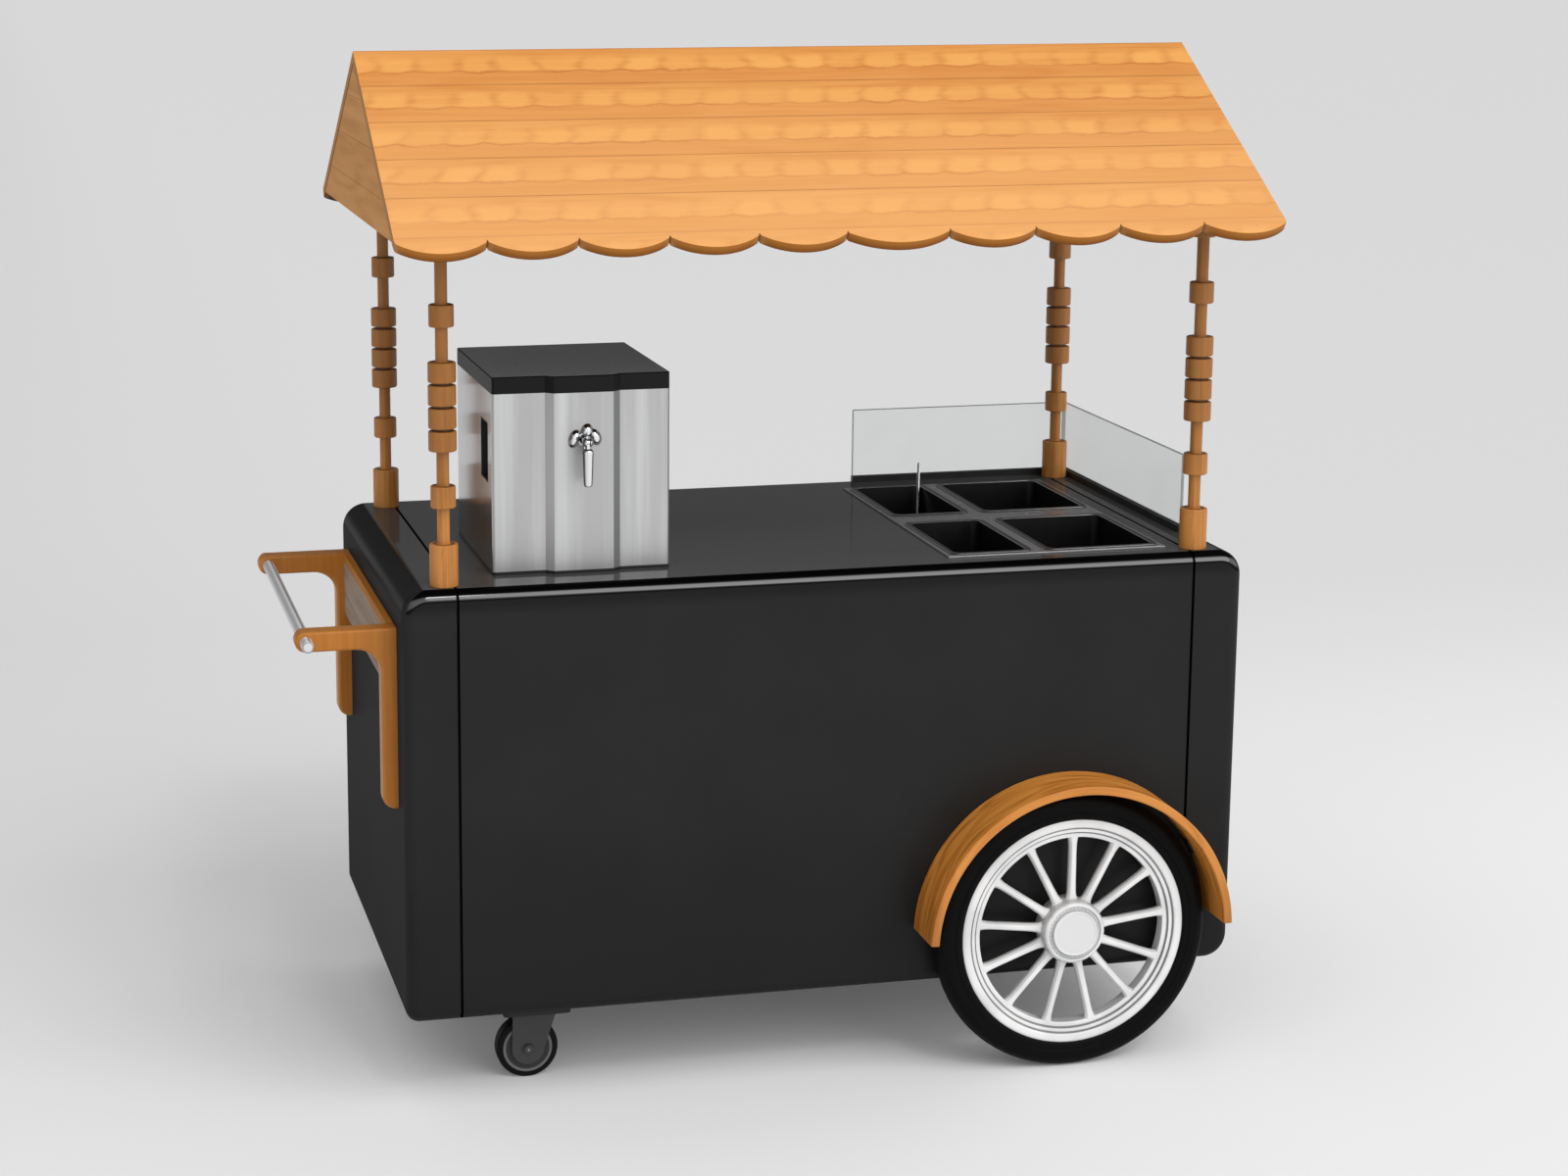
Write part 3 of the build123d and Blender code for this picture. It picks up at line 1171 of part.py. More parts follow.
save("dispenser_body", dispenser_body())
grip = dispenser_grip()
save("dispenser_grips", grip, across_dispenser(grip))
save("dispenser_tank", dispenser_tank())
save("dispenser_lid", dispenser_lid())
save("tap_body", tap_body())
save("tap_lever", tap_lever())
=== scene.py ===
import math

import bmesh
import bpy
from mathutils import Matrix, Vector


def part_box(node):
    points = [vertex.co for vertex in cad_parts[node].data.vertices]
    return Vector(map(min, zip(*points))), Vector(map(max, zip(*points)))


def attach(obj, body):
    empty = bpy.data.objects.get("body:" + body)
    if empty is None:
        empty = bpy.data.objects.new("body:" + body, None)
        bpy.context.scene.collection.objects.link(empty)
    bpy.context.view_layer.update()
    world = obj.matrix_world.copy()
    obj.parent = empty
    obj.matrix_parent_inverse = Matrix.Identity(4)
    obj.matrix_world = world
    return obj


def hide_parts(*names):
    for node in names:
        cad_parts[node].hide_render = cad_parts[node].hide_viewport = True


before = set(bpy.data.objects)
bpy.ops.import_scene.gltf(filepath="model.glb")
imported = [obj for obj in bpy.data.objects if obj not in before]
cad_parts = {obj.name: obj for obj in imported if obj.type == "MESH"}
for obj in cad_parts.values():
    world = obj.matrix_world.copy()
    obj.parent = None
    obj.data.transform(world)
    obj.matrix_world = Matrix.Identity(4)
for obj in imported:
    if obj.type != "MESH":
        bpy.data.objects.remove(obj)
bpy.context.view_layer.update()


# Chassis and storage floor: two painted steel rails, plywood joists, floor and bulkheads.
# They are bolted up first and carry everything else. The floor's plywood is left bare, the
# bulkheads behind the body's seams are painted black as the shade seen through the seam gaps,
# and the metal is powder coated.

class Tone:
    """One value or colour over a surface. Arithmetic on it adds Math nodes."""

    def __init__(self, tree, socket):
        self.tree = tree
        self.socket = socket

    def node(self, kind, settings, inputs, output=0):
        """Any other node: its settings first, then the values or links of its sockets."""
        made = self.tree.nodes.new("ShaderNode" + kind)
        for key, value in settings.items():
            if key == "stops":
                first, *middle, last = value
                ends = made.color_ramp.elements
                for element, (place, colour) in ((ends[0], first), (ends[1], last)):
                    element.position = place
                    element.color = colour
                for place, colour in middle:
                    ends.new(place).color = colour
            else:
                setattr(made, key, value)
        for key, value in inputs.items():
            if isinstance(value, Tone):
                self.tree.links.new(value.socket, made.inputs[key])
            else:
                made.inputs[key].default_value = value
        return Tone(self.tree, made.outputs[output])

    def math(self, operation, first, second=0.0):
        return self.node("Math", {"operation": operation}, {0: first, 1: second})

    def __add__(self, other):
        return self.math("ADD", self, other)

    __radd__ = __add__

    def __sub__(self, other):
        return self.math("SUBTRACT", self, other)

    def __rsub__(self, other):
        return self.math("SUBTRACT", other, self)

    def __mul__(self, other):
        return self.math("MULTIPLY", self, other)

    __rmul__ = __mul__

    def __truediv__(self, other):
        return self.math("DIVIDE", self, other)

    def __pow__(self, other):
        return self.math("POWER", self, other)

    def __abs__(self):
        return self.math("ABSOLUTE", self)


def paint(red, green, blue):
    """A colour as it looks on a screen, 0 to 255, made linear."""
    parts = [c / 255 for c in (red, green, blue)]
    return (*[c / 12.92 if c <= 0.04045 else ((c + 0.055) / 1.055) ** 2.4 for c in parts], 1)


def grey(level):
    return paint(level, level, level)


def finish(name, constants):
    """A new material and the piece's own coordinates."""
    material = bpy.data.materials.new(name)
    material.use_nodes = True
    tree = material.node_tree
    for key, value in constants.items():
        tree.nodes["Principled BSDF"].inputs[key].default_value = value
    place = tree.nodes.new("ShaderNodeTexCoord")
    return material, Tone(tree, place.outputs["Object"])


def feed(material, links):
    """Gives a material what changes over its surface."""
    for key, tone in links.items():
        tone.tree.links.new(tone.socket, tone.tree.nodes["Principled BSDF"].inputs[key])
    return material


def stretched(place, x, y, z):
    """Coordinates scaled by axis, so that a pattern is drawn out along the small one."""
    return place.node("VectorMath", {"operation": "MULTIPLY"}, {0: place, 1: (x, y, z)})


def speckle(place, scale, detail=3.0, roughness=0.5, distortion=0.0):
    """Fractal noise from 0 to 1, one half in the middle."""
    sockets = {"Vector": place, "Scale": scale, "Detail": detail, "Roughness": roughness,
               "Distortion": distortion}
    return place.node("TexNoise", {}, sockets)


def between(value, low, high, to_low=0.0, to_high=1.0):
    """Smooth step from to_low to to_high while value goes from low to high."""
    sockets = {0: value, 1: low, 2: high, 3: to_low, 4: to_high}
    return value.node("MapRange", {"interpolation_type": "SMOOTHSTEP"}, sockets)


def mixed(mask, low, high):
    """Colour that goes from low to high with the mask."""
    return mask.node("Mix", {"data_type": "RGBA"}, {0: mask, 6: low, 7: high}, 2)


def coats(colour, *layers):
    """Colours laid over the first one, each where its own mask is 1."""
    for mask, coat in layers:
        colour = mixed(mask, colour, coat)
    return colour


def ridged(height, distance, strength):
    """Normal of a surface with a relief this deep in metres."""
    return height.node("Bump", {}, {"Strength": strength, "Distance": distance, "Height": height})


def dress(material, *names):
    for name in names:
        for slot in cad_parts[name].material_slots:
            slot.material = material


def plywood_finish(name, dark, light, plies_colour):
    material, place = finish(name, {"Roughness": 0.62})
    veneer = speckle(stretched(place, 3, 60, 60), 1.0, 6, 0.62, 0.4)
    plies = speckle(stretched(place, 0.5, 5, 240), 1.0, 2)
    colour = coats(
        mixed(between(veneer, 0.3, 0.72), dark, light),
        (between(plies, 0.55, 0.7) * 0.35, plies_colour),
    )
    return feed(material, {"Base Color": colour, "Normal": ridged(veneer, 0.0006, 0.4)})


def powder_coat(name, dark, light, roughness):
    material, place = finish(name, {"Specular IOR Level": 0.4})
    wear = speckle(place, 22, 4, 0.6)
    return feed(material, {
        "Base Color": mixed(wear, dark, light),
        "Roughness": between(wear, 0.2, 0.8, roughness - 0.08, roughness + 0.1),
        "Normal": ridged(speckle(place, 900, 2), 0.0004, 0.25),
    })


bare_ply = plywood_finish("bare_plywood", paint(168, 128, 84), paint(214, 178, 128), paint(140, 98, 58))
dress(bare_ply, "floor_joists", "floor_panel")
# painted shade: black plywood for the bulkheads, seen as the dark of the seam gaps
seam_shade_ply = plywood_finish("seam_shade_plywood", paint(14, 13, 13), paint(24, 23, 22), grey(9))
dress(seam_shade_ply, "bulkheads")
chassis_coat = powder_coat("chassis_coat", paint(12, 12, 13), paint(20, 20, 21), 0.55)
dress(chassis_coat, "chassis_rails", "axle_blocks", "caster_mounts", "fender_brackets")


# Body: a moulded black glass-fibre shell in three pieces, a middle sleeve and two rounded
# end caps drawn up to it at the seams. The counter is rubbed by use and painted lighter than
# the walls as lit from above; its rounded edge is polished, painted black as a dark
# reflection above its highlight, with a painted shade band below. The walls are satin with
# a faint orange peel, the end walls painted lighter as lit, the lower walls painted darker
# as shade, and the seams painted dark as the shade in their gaps.

COUNTER_Z = 0.95
shell_low, shell_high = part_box("centre_shell")
SEAM_MIDDLE = (shell_low.x + shell_high.x) / 2
SEAM_SPREAD = (shell_high.x - shell_low.x) / 2


def axes(vector):
    """The three parts of a vector as values."""
    return [vector.node("SeparateXYZ", {}, {0: vector}, number) for number in range(3)]


def facing(place):
    """The three parts of the surface's own direction."""
    return axes(place.node("TexCoord", {}, {}, 1))


def stripe(value, middle, outer, inner):
    """1 within the inner distance of the middle, 0 past the outer one."""
    return between(abs(value - middle), outer, inner)


def layered(material, cover, under):
    """Shows a material over another shader, where the cover is 1."""
    tree = material.node_tree
    own = Tone(tree, tree.nodes["Principled BSDF"].outputs[0])
    mix = cover.node("MixShader", {}, {0: cover, 1: under, 2: own})
    tree.links.new(mix.socket, tree.nodes["Material Output"].inputs["Surface"])


def shell_finish(name, wall, end, top):
    """Satin walls, a polished front edge, a rubbed top and dark seams, from three greys: the walls, the end
    walls painted lighter as lit, and the top painted lighter as lit from above. Painted shade darkens the
    walls low down, a band under the edge and the seams, and the edge is painted black as a dark reflection.
    """
    constants = {"Specular IOR Level": 0.5, "Coat Roughness": 0.04, "Coat IOR": 1.85}
    material, place = finish(name, constants)
    x, _, height = axes(place)
    across, along, up = facing(place)
    flat_top = between(up, 0.985, 0.998)
    end_wall = between(abs(across), 0.8, 0.98)
    long_side = between(abs(along) - abs(across), 0.0, 0.15, 0.15, 1.0)
    edge = between(up, 0.06, 0.2) * (1 - flat_top) * long_side
    shine = edge * between(up, 0.16, 0.3) * between(up, 0.64, 0.5)
    low_wall_shade = between(height, 0.6, 0.2) * (1 - 0.7 * end_wall)
    under_edge_shade = between(height, COUNTER_Z - 0.05, COUNTER_Z - 0.025)
    under_edge_shade = under_edge_shade * between(height, COUNTER_Z + 0.05, COUNTER_Z) * long_side * (1 - flat_top)
    seam_gap_shade = stripe(abs(x - SEAM_MIDDLE), SEAM_SPREAD, 0.0032, 0.002)
    clouds = speckle(place, 5.5, 4, 0.55)
    wiping = speckle(stretched(place, 30, 9, 9), 1.0, 5, 0.65, 0.6)
    colour = coats(
        mixed(clouds, grey(wall - 2), grey(wall + 3)),
        # painted light: the end walls a lighter grey than the front and rear
        (end_wall, grey(end)),
        # painted shade: the walls darker towards the bottom
        (low_wall_shade * 0.6, grey(wall - 12)),
        # painted shade: a dark band just under the counter's rounded edge
        (under_edge_shade * 0.6, grey(10)),
        # painted light: the top a lighter grey than the walls, with wiping marks
        (flat_top, mixed(wiping, grey(top - 2), grey(top + 3))),
        # painted reflection: the rounded edge black where it mirrors the dark roof
        (edge, grey(5)),
        # painted shade: the seams near black, as the shade in their gaps
        (seam_gap_shade, grey(1)),
    )
    satin = 0.3 + 0.12 * clouds
    polish = 0.05 + 0.04 * between(wiping, 0.35, 0.75)
    gloss = 0.24 - 0.14 * end_wall + 0.36 * flat_top + 0.06 * (clouds - 0.5)
    gloss = (gloss * (1 - 0.9 * edge) + 0.72 * shine) * (1 - 0.98 * seam_gap_shade)
    layered(material, gloss, colour.node("BsdfDiffuse", {}, {"Color": colour}))
    return feed(material, {
        "Base Color": colour,
        "Roughness": satin + (flat_top + edge) * (polish - satin),
        "Coat Weight": shine,
        "Normal": ridged(speckle(place, 260, 2) * (1 - 0.9 * (flat_top + edge)), 0.0003, 0.12),
    })


# wall, end wall and top greys; the end walls and the top are painted lighter as lit
shell_black = shell_finish("black_glass_fibre", 33, 47, 67)
dress(shell_black, "centre_shell", "left_end_cap", "right_end_cap")


# Storage door: a flat leaf moulded like the body, over an opening in the rear wall. It hangs
# on two plain steel butt hinges and is opened by a finger notch in its free edge.

def plain_metal(name, dark, light, low_roughness, high_roughness):
    material, place = finish(name, {"Metallic": 1.0})
    wear = speckle(place, 24, 2)
    return feed(material, {
        "Base Color": mixed(wear, dark, light),
        "Roughness": between(wear, 0.25, 0.75, low_roughness, high_roughness),
    })


dress(shell_black, "rear_door")
plain_steel = plain_metal("zinc_plated_steel", paint(168, 170, 172), paint(200, 201, 200), 0.28, 0.45)
dress(plain_steel, "door_hinges", "door_leaves", "axle", "axle_nuts", "post_studs")


# Spoked wheels: cast and painted white, thirteen tapered spokes between a stepped rim and a
# short hub with a ring of studs, with a black tyre stretched on and a flat cap pressed over
# the axle nut. They turn on bronze bushes on one through axle.

MM = 0.001
SIDES = (("front", -1), ("rear", 1))
AXLE_X = 0.5275
AXLE_Z = 0.261
WHEEL_Y = 0.432
SPOKES = 13
SPOKE_STATIONS = (
    (50, 30), (58, 25), (64, 19.5), (72, 16.8), (90, 15.6), (150, 14.8), (166, 16), (174, 19), (180, 25),
)
SPOKE_SECTION = ((-0.5, 12.4), (0.5, 12.4), (1, 6.5), (0.86, -3), (-0.86, -3), (-1, 6.5))
RIM_OUTLINE = (
    (214, -21, 1), (214, 19.5, 1), (210.5, 21, 1.4), (200, 21, 1.4), (197.6, 18.5, 0.8), (197.6, 13.5, 0),
    (195.4, 13.5, 0), (195.4, 16.2, 0.9), (188.8, 16.2, 0.9), (188.8, 9.5, 0), (186.4, 9.5, 0),
    (186.4, 12.2, 0.9), (179.6, 12.2, 0.9), (178, 10.6, 0.4), (178, -12, 0.8), (187, -21, 1),
)
RIM_GROOVES = (0.1965, 0.1876)
HUB_FACE = 26.3
HUB_OUTLINE = (
    (56, -27.7, 1), (60, -8, 1), (60, 19, 2), (57.6, 26.5, 2), (53, 29.4, 1.4), (50.4, 29, 0.8),
    (50, HUB_FACE, 0), (27, HUB_FACE, 0), (27, 9.3, 0), (18, 9.3, 0), (18, -27.7, 0.5),
)
HUB_EDGE = 0.0575
CAP_OUTLINE = (
    (0, 32.2, 0), (38.4, 32.2, 0.6), (39.6, 33.3, 0.5), (41.6, 33.3, 0.8), (43.4, 30.6, 1.2), (43.6, 26.4, 0),
    (26.8, 26.4, 0), (26.8, 22.4, 0.5), (0, 22.4, 0),
)
STUD_COUNT = 39
STUD_REACH = 46.7
STUD_RADIUS = 2.2
TYRE_HALF = (
    (261, 1.5, 1), (259.6, 11.5, 4), (253.5, 20.4, 4), (243, 24, 3), (229, 24, 0.2), (228, 23.1, 0.2),
    (227, 23.1, 0.2), (226, 23.9, 0.2), (217, 23, 1), (214, 20.8, 0.5),
)
TYRE_OUTLINE = [(r, -w, rounding) for r, w, rounding in reversed(TYRE_HALF)] + list(TYRE_HALF)


def soften(shape, corners, roundings):
    """Rounds the corners of an outline, each by its own amount in millimetres."""
    for amount in sorted(set(roundings) - {0}):
        bmesh.ops.bevel(
            shape, geom=[c for c, r in zip(corners, roundings) if r == amount], offset=amount * MM,
            offset_type="OFFSET", segments=3 if amount < 8 else 8, profile=0.5, affect="VERTICES",
            material=-1, clamp_overlap=True,
        )


def turned(shape, outline, centre, axis, first=0.0, sweep=2 * math.pi, steps=144):
    """Turns corners of (radius, place along the axis, rounding) in mm, open if they start on the axis."""
    axis = Vector(axis)
    out = Vector((0, 0, 1)) if abs(axis.z) < 0.5 else Vector((1, 0, 0))
    out = Matrix.Rotation(first, 3, axis) @ out
    corners = [shape.verts.new(Vector(centre) + out * (r * MM) + axis * (w * MM)) for r, w, _ in outline]
    ring = corners + corners[:1] if outline[0][0] else corners
    for pair in zip(ring, ring[1:]):
        shape.edges.new(pair)
    soften(shape, corners, [rounding for _, _, rounding in outline])
    line = [e for e in shape.edges if e.is_wire]
    geometry = line + list({v for e in line for v in e.verts})
    full = abs(sweep) > 6.28
    if not full:
        geometry += bmesh.ops.contextual_create(shape, geom=line)["faces"]
    bmesh.ops.spin(
        shape, geom=geometry, cent=centre, axis=axis, dvec=(0, 0, 0), angle=sweep, steps=steps,
        use_merge=full, use_duplicate=False,
    )


def eased(shape, edges, offset, segments=2):
    """Rounds edges over, in millimetres."""
    bmesh.ops.bevel(
        shape, geom=edges, offset=offset * MM, offset_type="OFFSET", segments=segments, profile=0.5,
        affect="EDGES", material=-1, clamp_overlap=True,
    )


def only(kind, geometry):
    return [part for part in geometry if isinstance(part, kind)]


def spoke(shape, centre, side):
    """One spoke standing up from the hub, flared at both ends, its front face narrow."""
    reach, width = SPOKE_STATIONS[0]
    middle = Vector(centre) + Vector((0, 0, reach * MM))
    corners = [
        shape.verts.new(middle + Vector((h * width / 2 * MM, side * w * MM, 0))) for h, w in SPOKE_SECTION
    ]
    outline = shape.faces.new(corners).edges[:]
    for next_reach, next_width in SPOKE_STATIONS[1:]:
        grown = bmesh.ops.extrude_edge_only(shape, edges=outline)["geom"]
        verts = only(bmesh.types.BMVert, grown)
        outline = [e for e in only(bmesh.types.BMEdge, grown) if all(v in verts for v in e.verts)]
        bmesh.ops.translate(shape, verts=verts, vec=(0, 0, (next_reach - reach) * MM))
        bmesh.ops.scale(
            shape, verts=verts, vec=(next_width / width, 1, 1), space=Matrix.Translation(-Vector(centre)),
        )
        reach, width = next_reach, next_width
    bmesh.ops.contextual_create(shape, geom=outline)
    lengthwise = [e for e in shape.edges if abs((e.verts[0].co - e.verts[1].co).normalized().z) > 0.7]
    eased(shape, lengthwise, 1.4)


def placed(name, data):
    """A new object in the scene."""
    made = bpy.data.objects.new(name, data)
    bpy.context.scene.collection.objects.link(made)
    return made


def piece(name, shape, material, body, nodes, smooth_angle=35):
    """Closes a mesh, gives it its finish and lets it ride on its body."""
    bmesh.ops.remove_doubles(shape, verts=shape.verts[:], dist=1e-6)
    bmesh.ops.recalc_face_normals(shape, faces=shape.faces[:])
    mesh = bpy.data.meshes.new(name)
    shape.to_mesh(mesh)
    shape.free()
    mesh.materials.append(material)
    mesh.shade_smooth()
    mesh.set_sharp_from_angle(angle=math.radians(smooth_angle))
    made = placed(name, mesh)
    made.modifiers.new("even_shading", "WEIGHTED_NORMAL").keep_sharp = True
    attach(made, body)
    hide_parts(*nodes)


def apart(along, aside):
    """Distance from an axis, from its parts along two directions."""
    return (along ** 2 + aside ** 2) ** 0.5


def wheel_paint(name):
    """White enamel with painted shade: greyer down the flanks of the spokes, towards the rim's outer lip, in
    the rim's steps, in the collar and round the hub.
    """
    material, place = finish(name, {"Coat Weight": 0.25, "Coat Roughness": 0.12})
    x, _, z = axes(place)
    radius = apart(x - AXLE_X, z - AXLE_Z)
    flow = speckle(place, 30, 4, 0.6)
    outer_step, inner_step = [stripe(radius, groove, 0.0022, 0.0012) for groove in RIM_GROOVES]
    hub_foot = stripe(radius, HUB_EDGE, 0.006, 0.001)
    collar = between(radius, 0.0432, 0.0438) * between(radius, 0.0512, 0.05) * (0.55 + 0.6 * (flow - 0.5))
    flank = between(abs(facing(place)[1]), 0.9, 0.3)
    # painted shade in the rim's steps, round the hub's foot, in the collar, on the flanks and towards the
    # rim's outer lip
    wheel_shade = 0.34 * (outer_step + inner_step) + 0.3 * between(flow, 0.35, 0.75) * hub_foot + 0.4 * collar
    wheel_shade = wheel_shade + 0.3 * flank * between(radius, 0.2155, 0.213) + 0.1 * between(radius, 0.205, 0.213)
    colour = coats(
        mixed(flow, paint(233, 233, 232), paint(226, 227, 227)),
        (between(speckle(place, 9, 2), 0.42, 0.62) * 0.5, paint(196, 197, 198)),
        (between(radius, 0.0395, 0.038), grey(214)),
        (wheel_shade, grey(84)),
    )
    return feed(material, {
        "Base Color": colour,
        "Roughness": 0.28 + 0.14 * flow,
        "Normal": ridged(speckle(place, 420, 2), 0.0002, 0.1),
    })


def tyre_rubber(name):
    """Black rubber: fine turned lines on the wall, a little scuffed on the tread."""
    material, place = finish(name, {"Specular IOR Level": 0.08})
    x, _, z = axes(place)
    radius = apart(x - AXLE_X, z - AXLE_Z)
    lines = radius.math("SINE", radius * 5200)
    scuff = speckle(place, 46, 5, 0.7)
    tread = between(radius, 0.2545, 0.2605)
    return feed(material, {
        "Base Color": mixed(tread * between(scuff, 0.35, 0.8), grey(4), paint(20, 20, 19)),
        "Roughness": 0.42 + 0.12 * scuff + 0.16 * tread,
        "Normal": ridged(0.25 * lines + scuff, 0.0004, 0.14),
    })


wheel_white = wheel_paint("white_wheel_enamel")
tyre_black = tyre_rubber("black_tyre_rubber")
for end, side in SIDES:
    middle = (AXLE_X, side * WHEEL_Y, AXLE_Z)
    outward = (0, side, 0)
    body = end + "_wheel_set"
    wheel = bmesh.new()
    spoke(wheel, middle, side)
    one = wheel.verts[:] + wheel.edges[:] + wheel.faces[:]
    for number in range(1, SPOKES):
        copied = bmesh.ops.duplicate(wheel, geom=one)["geom"]
        turn = Matrix.Rotation(2 * math.pi * number / SPOKES, 3, "Y")
        bmesh.ops.rotate(wheel, verts=only(bmesh.types.BMVert, copied), cent=middle, matrix=turn)
    turned(wheel, RIM_OUTLINE, middle, outward)
    turned(wheel, HUB_OUTLINE, middle, outward)
    for number in range(STUD_COUNT):
        dome = bmesh.ops.create_icosphere(wheel, subdivisions=2, radius=STUD_RADIUS * MM)["verts"]
        bmesh.ops.scale(wheel, verts=dome, vec=(1, 0.5, 1.3))
        seat = Vector(middle) + Vector((0, side * HUB_FACE, STUD_REACH)) * MM
        bmesh.ops.translate(wheel, verts=dome, vec=seat)
        turn = Matrix.Rotation(2 * math.pi * number / STUD_COUNT, 3, "Y")
        bmesh.ops.rotate(wheel, verts=dome, cent=middle, matrix=turn)
    piece(end + "_spoked_wheel", wheel, wheel_white, body, [end + "_wheel"])
    cap = bmesh.new()
    turned(cap, CAP_OUTLINE, middle, outward, steps=96)
    piece(end + "_axle_cap", cap, wheel_white, body, [end + "_hub_cap"])
    tyre = bmesh.new()
    turned(tyre, TYRE_OUTLINE, middle, outward)
    piece(end + "_round_tyre", tyre, tyre_black, body, [end + "_tyre"], 40)
bronze = plain_metal("bush_bronze", paint(150, 112, 62), paint(186, 146, 88), 0.3, 0.5)
dress(bronze, "front_wheel_bushes", "rear_wheel_bushes")


# Fenders: a strip of ash steam-bent over each wheel, its edges rounded over, varnished, and
# screwed to small steel angles on the body's wall. The grain follows the bend.

FENDER_SECTION = ((275, 400.4, 1.5), (291, 400.4, 1.5), (291, 503, 3), (275, 503, 3))
FENDER_RISE = math.radians(2.4)


def wood_figure(grain, rings=9.0):
    """Streaks, growth bands and short pores from coordinates drawn out along the grain."""
    streaks = speckle(grain, 1.0, 6, 0.62, 0.3)
    slow = speckle(stretched(grain, 0.35, 0.12, 0.12), 1.0, 2, 0.5, 0.4) * rings
    bands = 0.5 + 0.5 * slow.math("SINE", slow * 6.283)
    pores = between(speckle(stretched(grain, 1.6, 3.2, 3.2), 1.0, 2), 0.62, 0.74)
    return streaks, bands, pores


def wood_tone(figure, dark, middle, light):
    """Colour of wood from its figure."""
    streaks, bands, pores = figure
    tone = 0.62 * streaks + 0.38 * (0.25 + 0.5 * bands)
    colour = tone.node("ValToRGB", {"stops": [(0.28, dark), (0.5, middle), (0.72, light)]}, {0: tone})
    return mixed(pores * 0.3, colour, dark)


def varnish(material, figure, colour, gloss):
    streaks, _, pores = figure
    return feed(material, {
        "Base Color": colour,
        "Roughness": gloss + 0.12 * streaks + 0.08 * pores,
        "Normal": ridged(streaks - 0.6 * pores, 0.0005, 0.12),
    })


def bent_wood(name):
    material, place = finish(name, {"Specular IOR Level": 0.35})
    x, y, z = axes(place)
    angle = x.math("ARCTAN2", z - AXLE_Z, x - AXLE_X)
    radius = apart(x - AXLE_X, z - AXLE_Z)
    grain = x.node("CombineXYZ", {}, {0: angle * 2.0, 1: y * 110, 2: radius * 110})
    figure = wood_figure(grain)
    edge = between(abs(facing(place)[1]), 0.3, 0.8)
    foot = between(z, 0.42, 0.27)
    colour = coats(
        wood_tone(figure, paint(168, 94, 28), paint(216, 138, 56), paint(234, 160, 76)),
        # painted shade: the strip's side edges a darker tone than its face
        (edge * 0.6, paint(190, 122, 54)),
        # painted shade: the strip darker towards its low ends
        (foot * 0.4, paint(120, 68, 18)),
    )
    return varnish(material, figure, colour, 0.32)


fender_wood = bent_wood("bent_fender_wood")
for end, side in SIDES:
    strip = bmesh.new()
    turned(
        strip, FENDER_SECTION, (AXLE_X, 0, AXLE_Z), (0, side, 0), first=side * (math.pi / 2 - FENDER_RISE),
        sweep=-side * (math.pi - 2 * FENDER_RISE), steps=96,
    )
    piece(end + "_bent_fender", strip, fender_wood, "cart", [end + "_fender"])


# Swivel casters: pressed steel forks under the handle end, with bonded black treads on grey
# ringed wheels and blacked axle bolts. The forks are powder coated dark grey.

CASTER_X = -0.4615
CASTER_Z = 0.057
RING_RADIUS = 0.043


def caster_finish(name):
    """Rubber tread on a moulded centre, the raised ring rubbed grey."""
    material, place = finish(name, {"Specular IOR Level": 0.12})
    x, _, z = axes(place)
    reach = apart(x - CASTER_X, z - CASTER_Z)
    scuff = speckle(place, 80, 5, 0.7)
    ring = stripe(reach, RING_RADIUS, 0.003, 0.0022)
    centre = between(reach, 0.0412, 0.0408)
    colour = coats(
        mixed(scuff, grey(4), grey(10)),
        (centre, paint(52, 52, 53)),
        (ring * (0.8 + 0.2 * scuff), paint(108, 108, 110)),
    )
    return feed(material, {
        "Base Color": colour,
        "Roughness": 0.4 + 0.2 * scuff,
        "Normal": ridged(scuff, 0.0003, 0.2),
    })


def bolt_finish(name):
    """Blacked steel, lighter in a small dot at its centre."""
    material, place = finish(name, {"Specular IOR Level": 0.3})
    x, _, z = axes(place)
    centre_dot = between(apart(x - CASTER_X, z - CASTER_Z), 0.003, 0.0016)
    wear = speckle(place, 200, 3)
    return feed(material, {
        "Base Color": mixed(centre_dot, mixed(wear, grey(50), grey(62)), paint(130, 130, 132)),
        "Roughness": 0.4 + 0.1 * wear,
    })


fork_coat = powder_coat("fork_coat", grey(46), grey(56), 0.45)
dress(fork_coat, "front_caster_fork", "rear_caster_fork")
dress(caster_finish("caster_wheel_rubber"), "front_caster_wheel", "rear_caster_wheel")
dress(bolt_finish("blacked_bolt_steel"), "front_caster_axle", "rear_caster_axle")


# Push handle: two brackets sawn from thick board, well rounded and varnished, bolted to the
# left end with a grey-brown board between them, and a polished steel bar through their arms.

BRACKET_WALL = -699.5
BRACKET_CORNERS = (
    (BRACKET_WALL, 873, 0), (-876.5, 873, 18), (-876.5, 836, 18), (-726.5, 836, 45), (-726.5, 543, 23),
    (BRACKET_WALL, 543, 0),
)
BRACKET_SPREAD = 310
BRACKET_WIDTH = 40


def raised(shape, face, vector):
    """Extrudes a face into a closed board."""
    grown = bmesh.ops.extrude_face_region(shape, geom=[face])["geom"]
    bmesh.ops.translate(shape, verts=only(bmesh.types.BMVert, grown), vec=vector)


def sawn_wood(name, stretch, colours, gloss, shine):
    material, place = finish(name, {"Specular IOR Level": shine})
    figure = wood_figure(stretched(place, *stretch))
    return varnish(material, figure, wood_tone(figure, *colours), gloss)


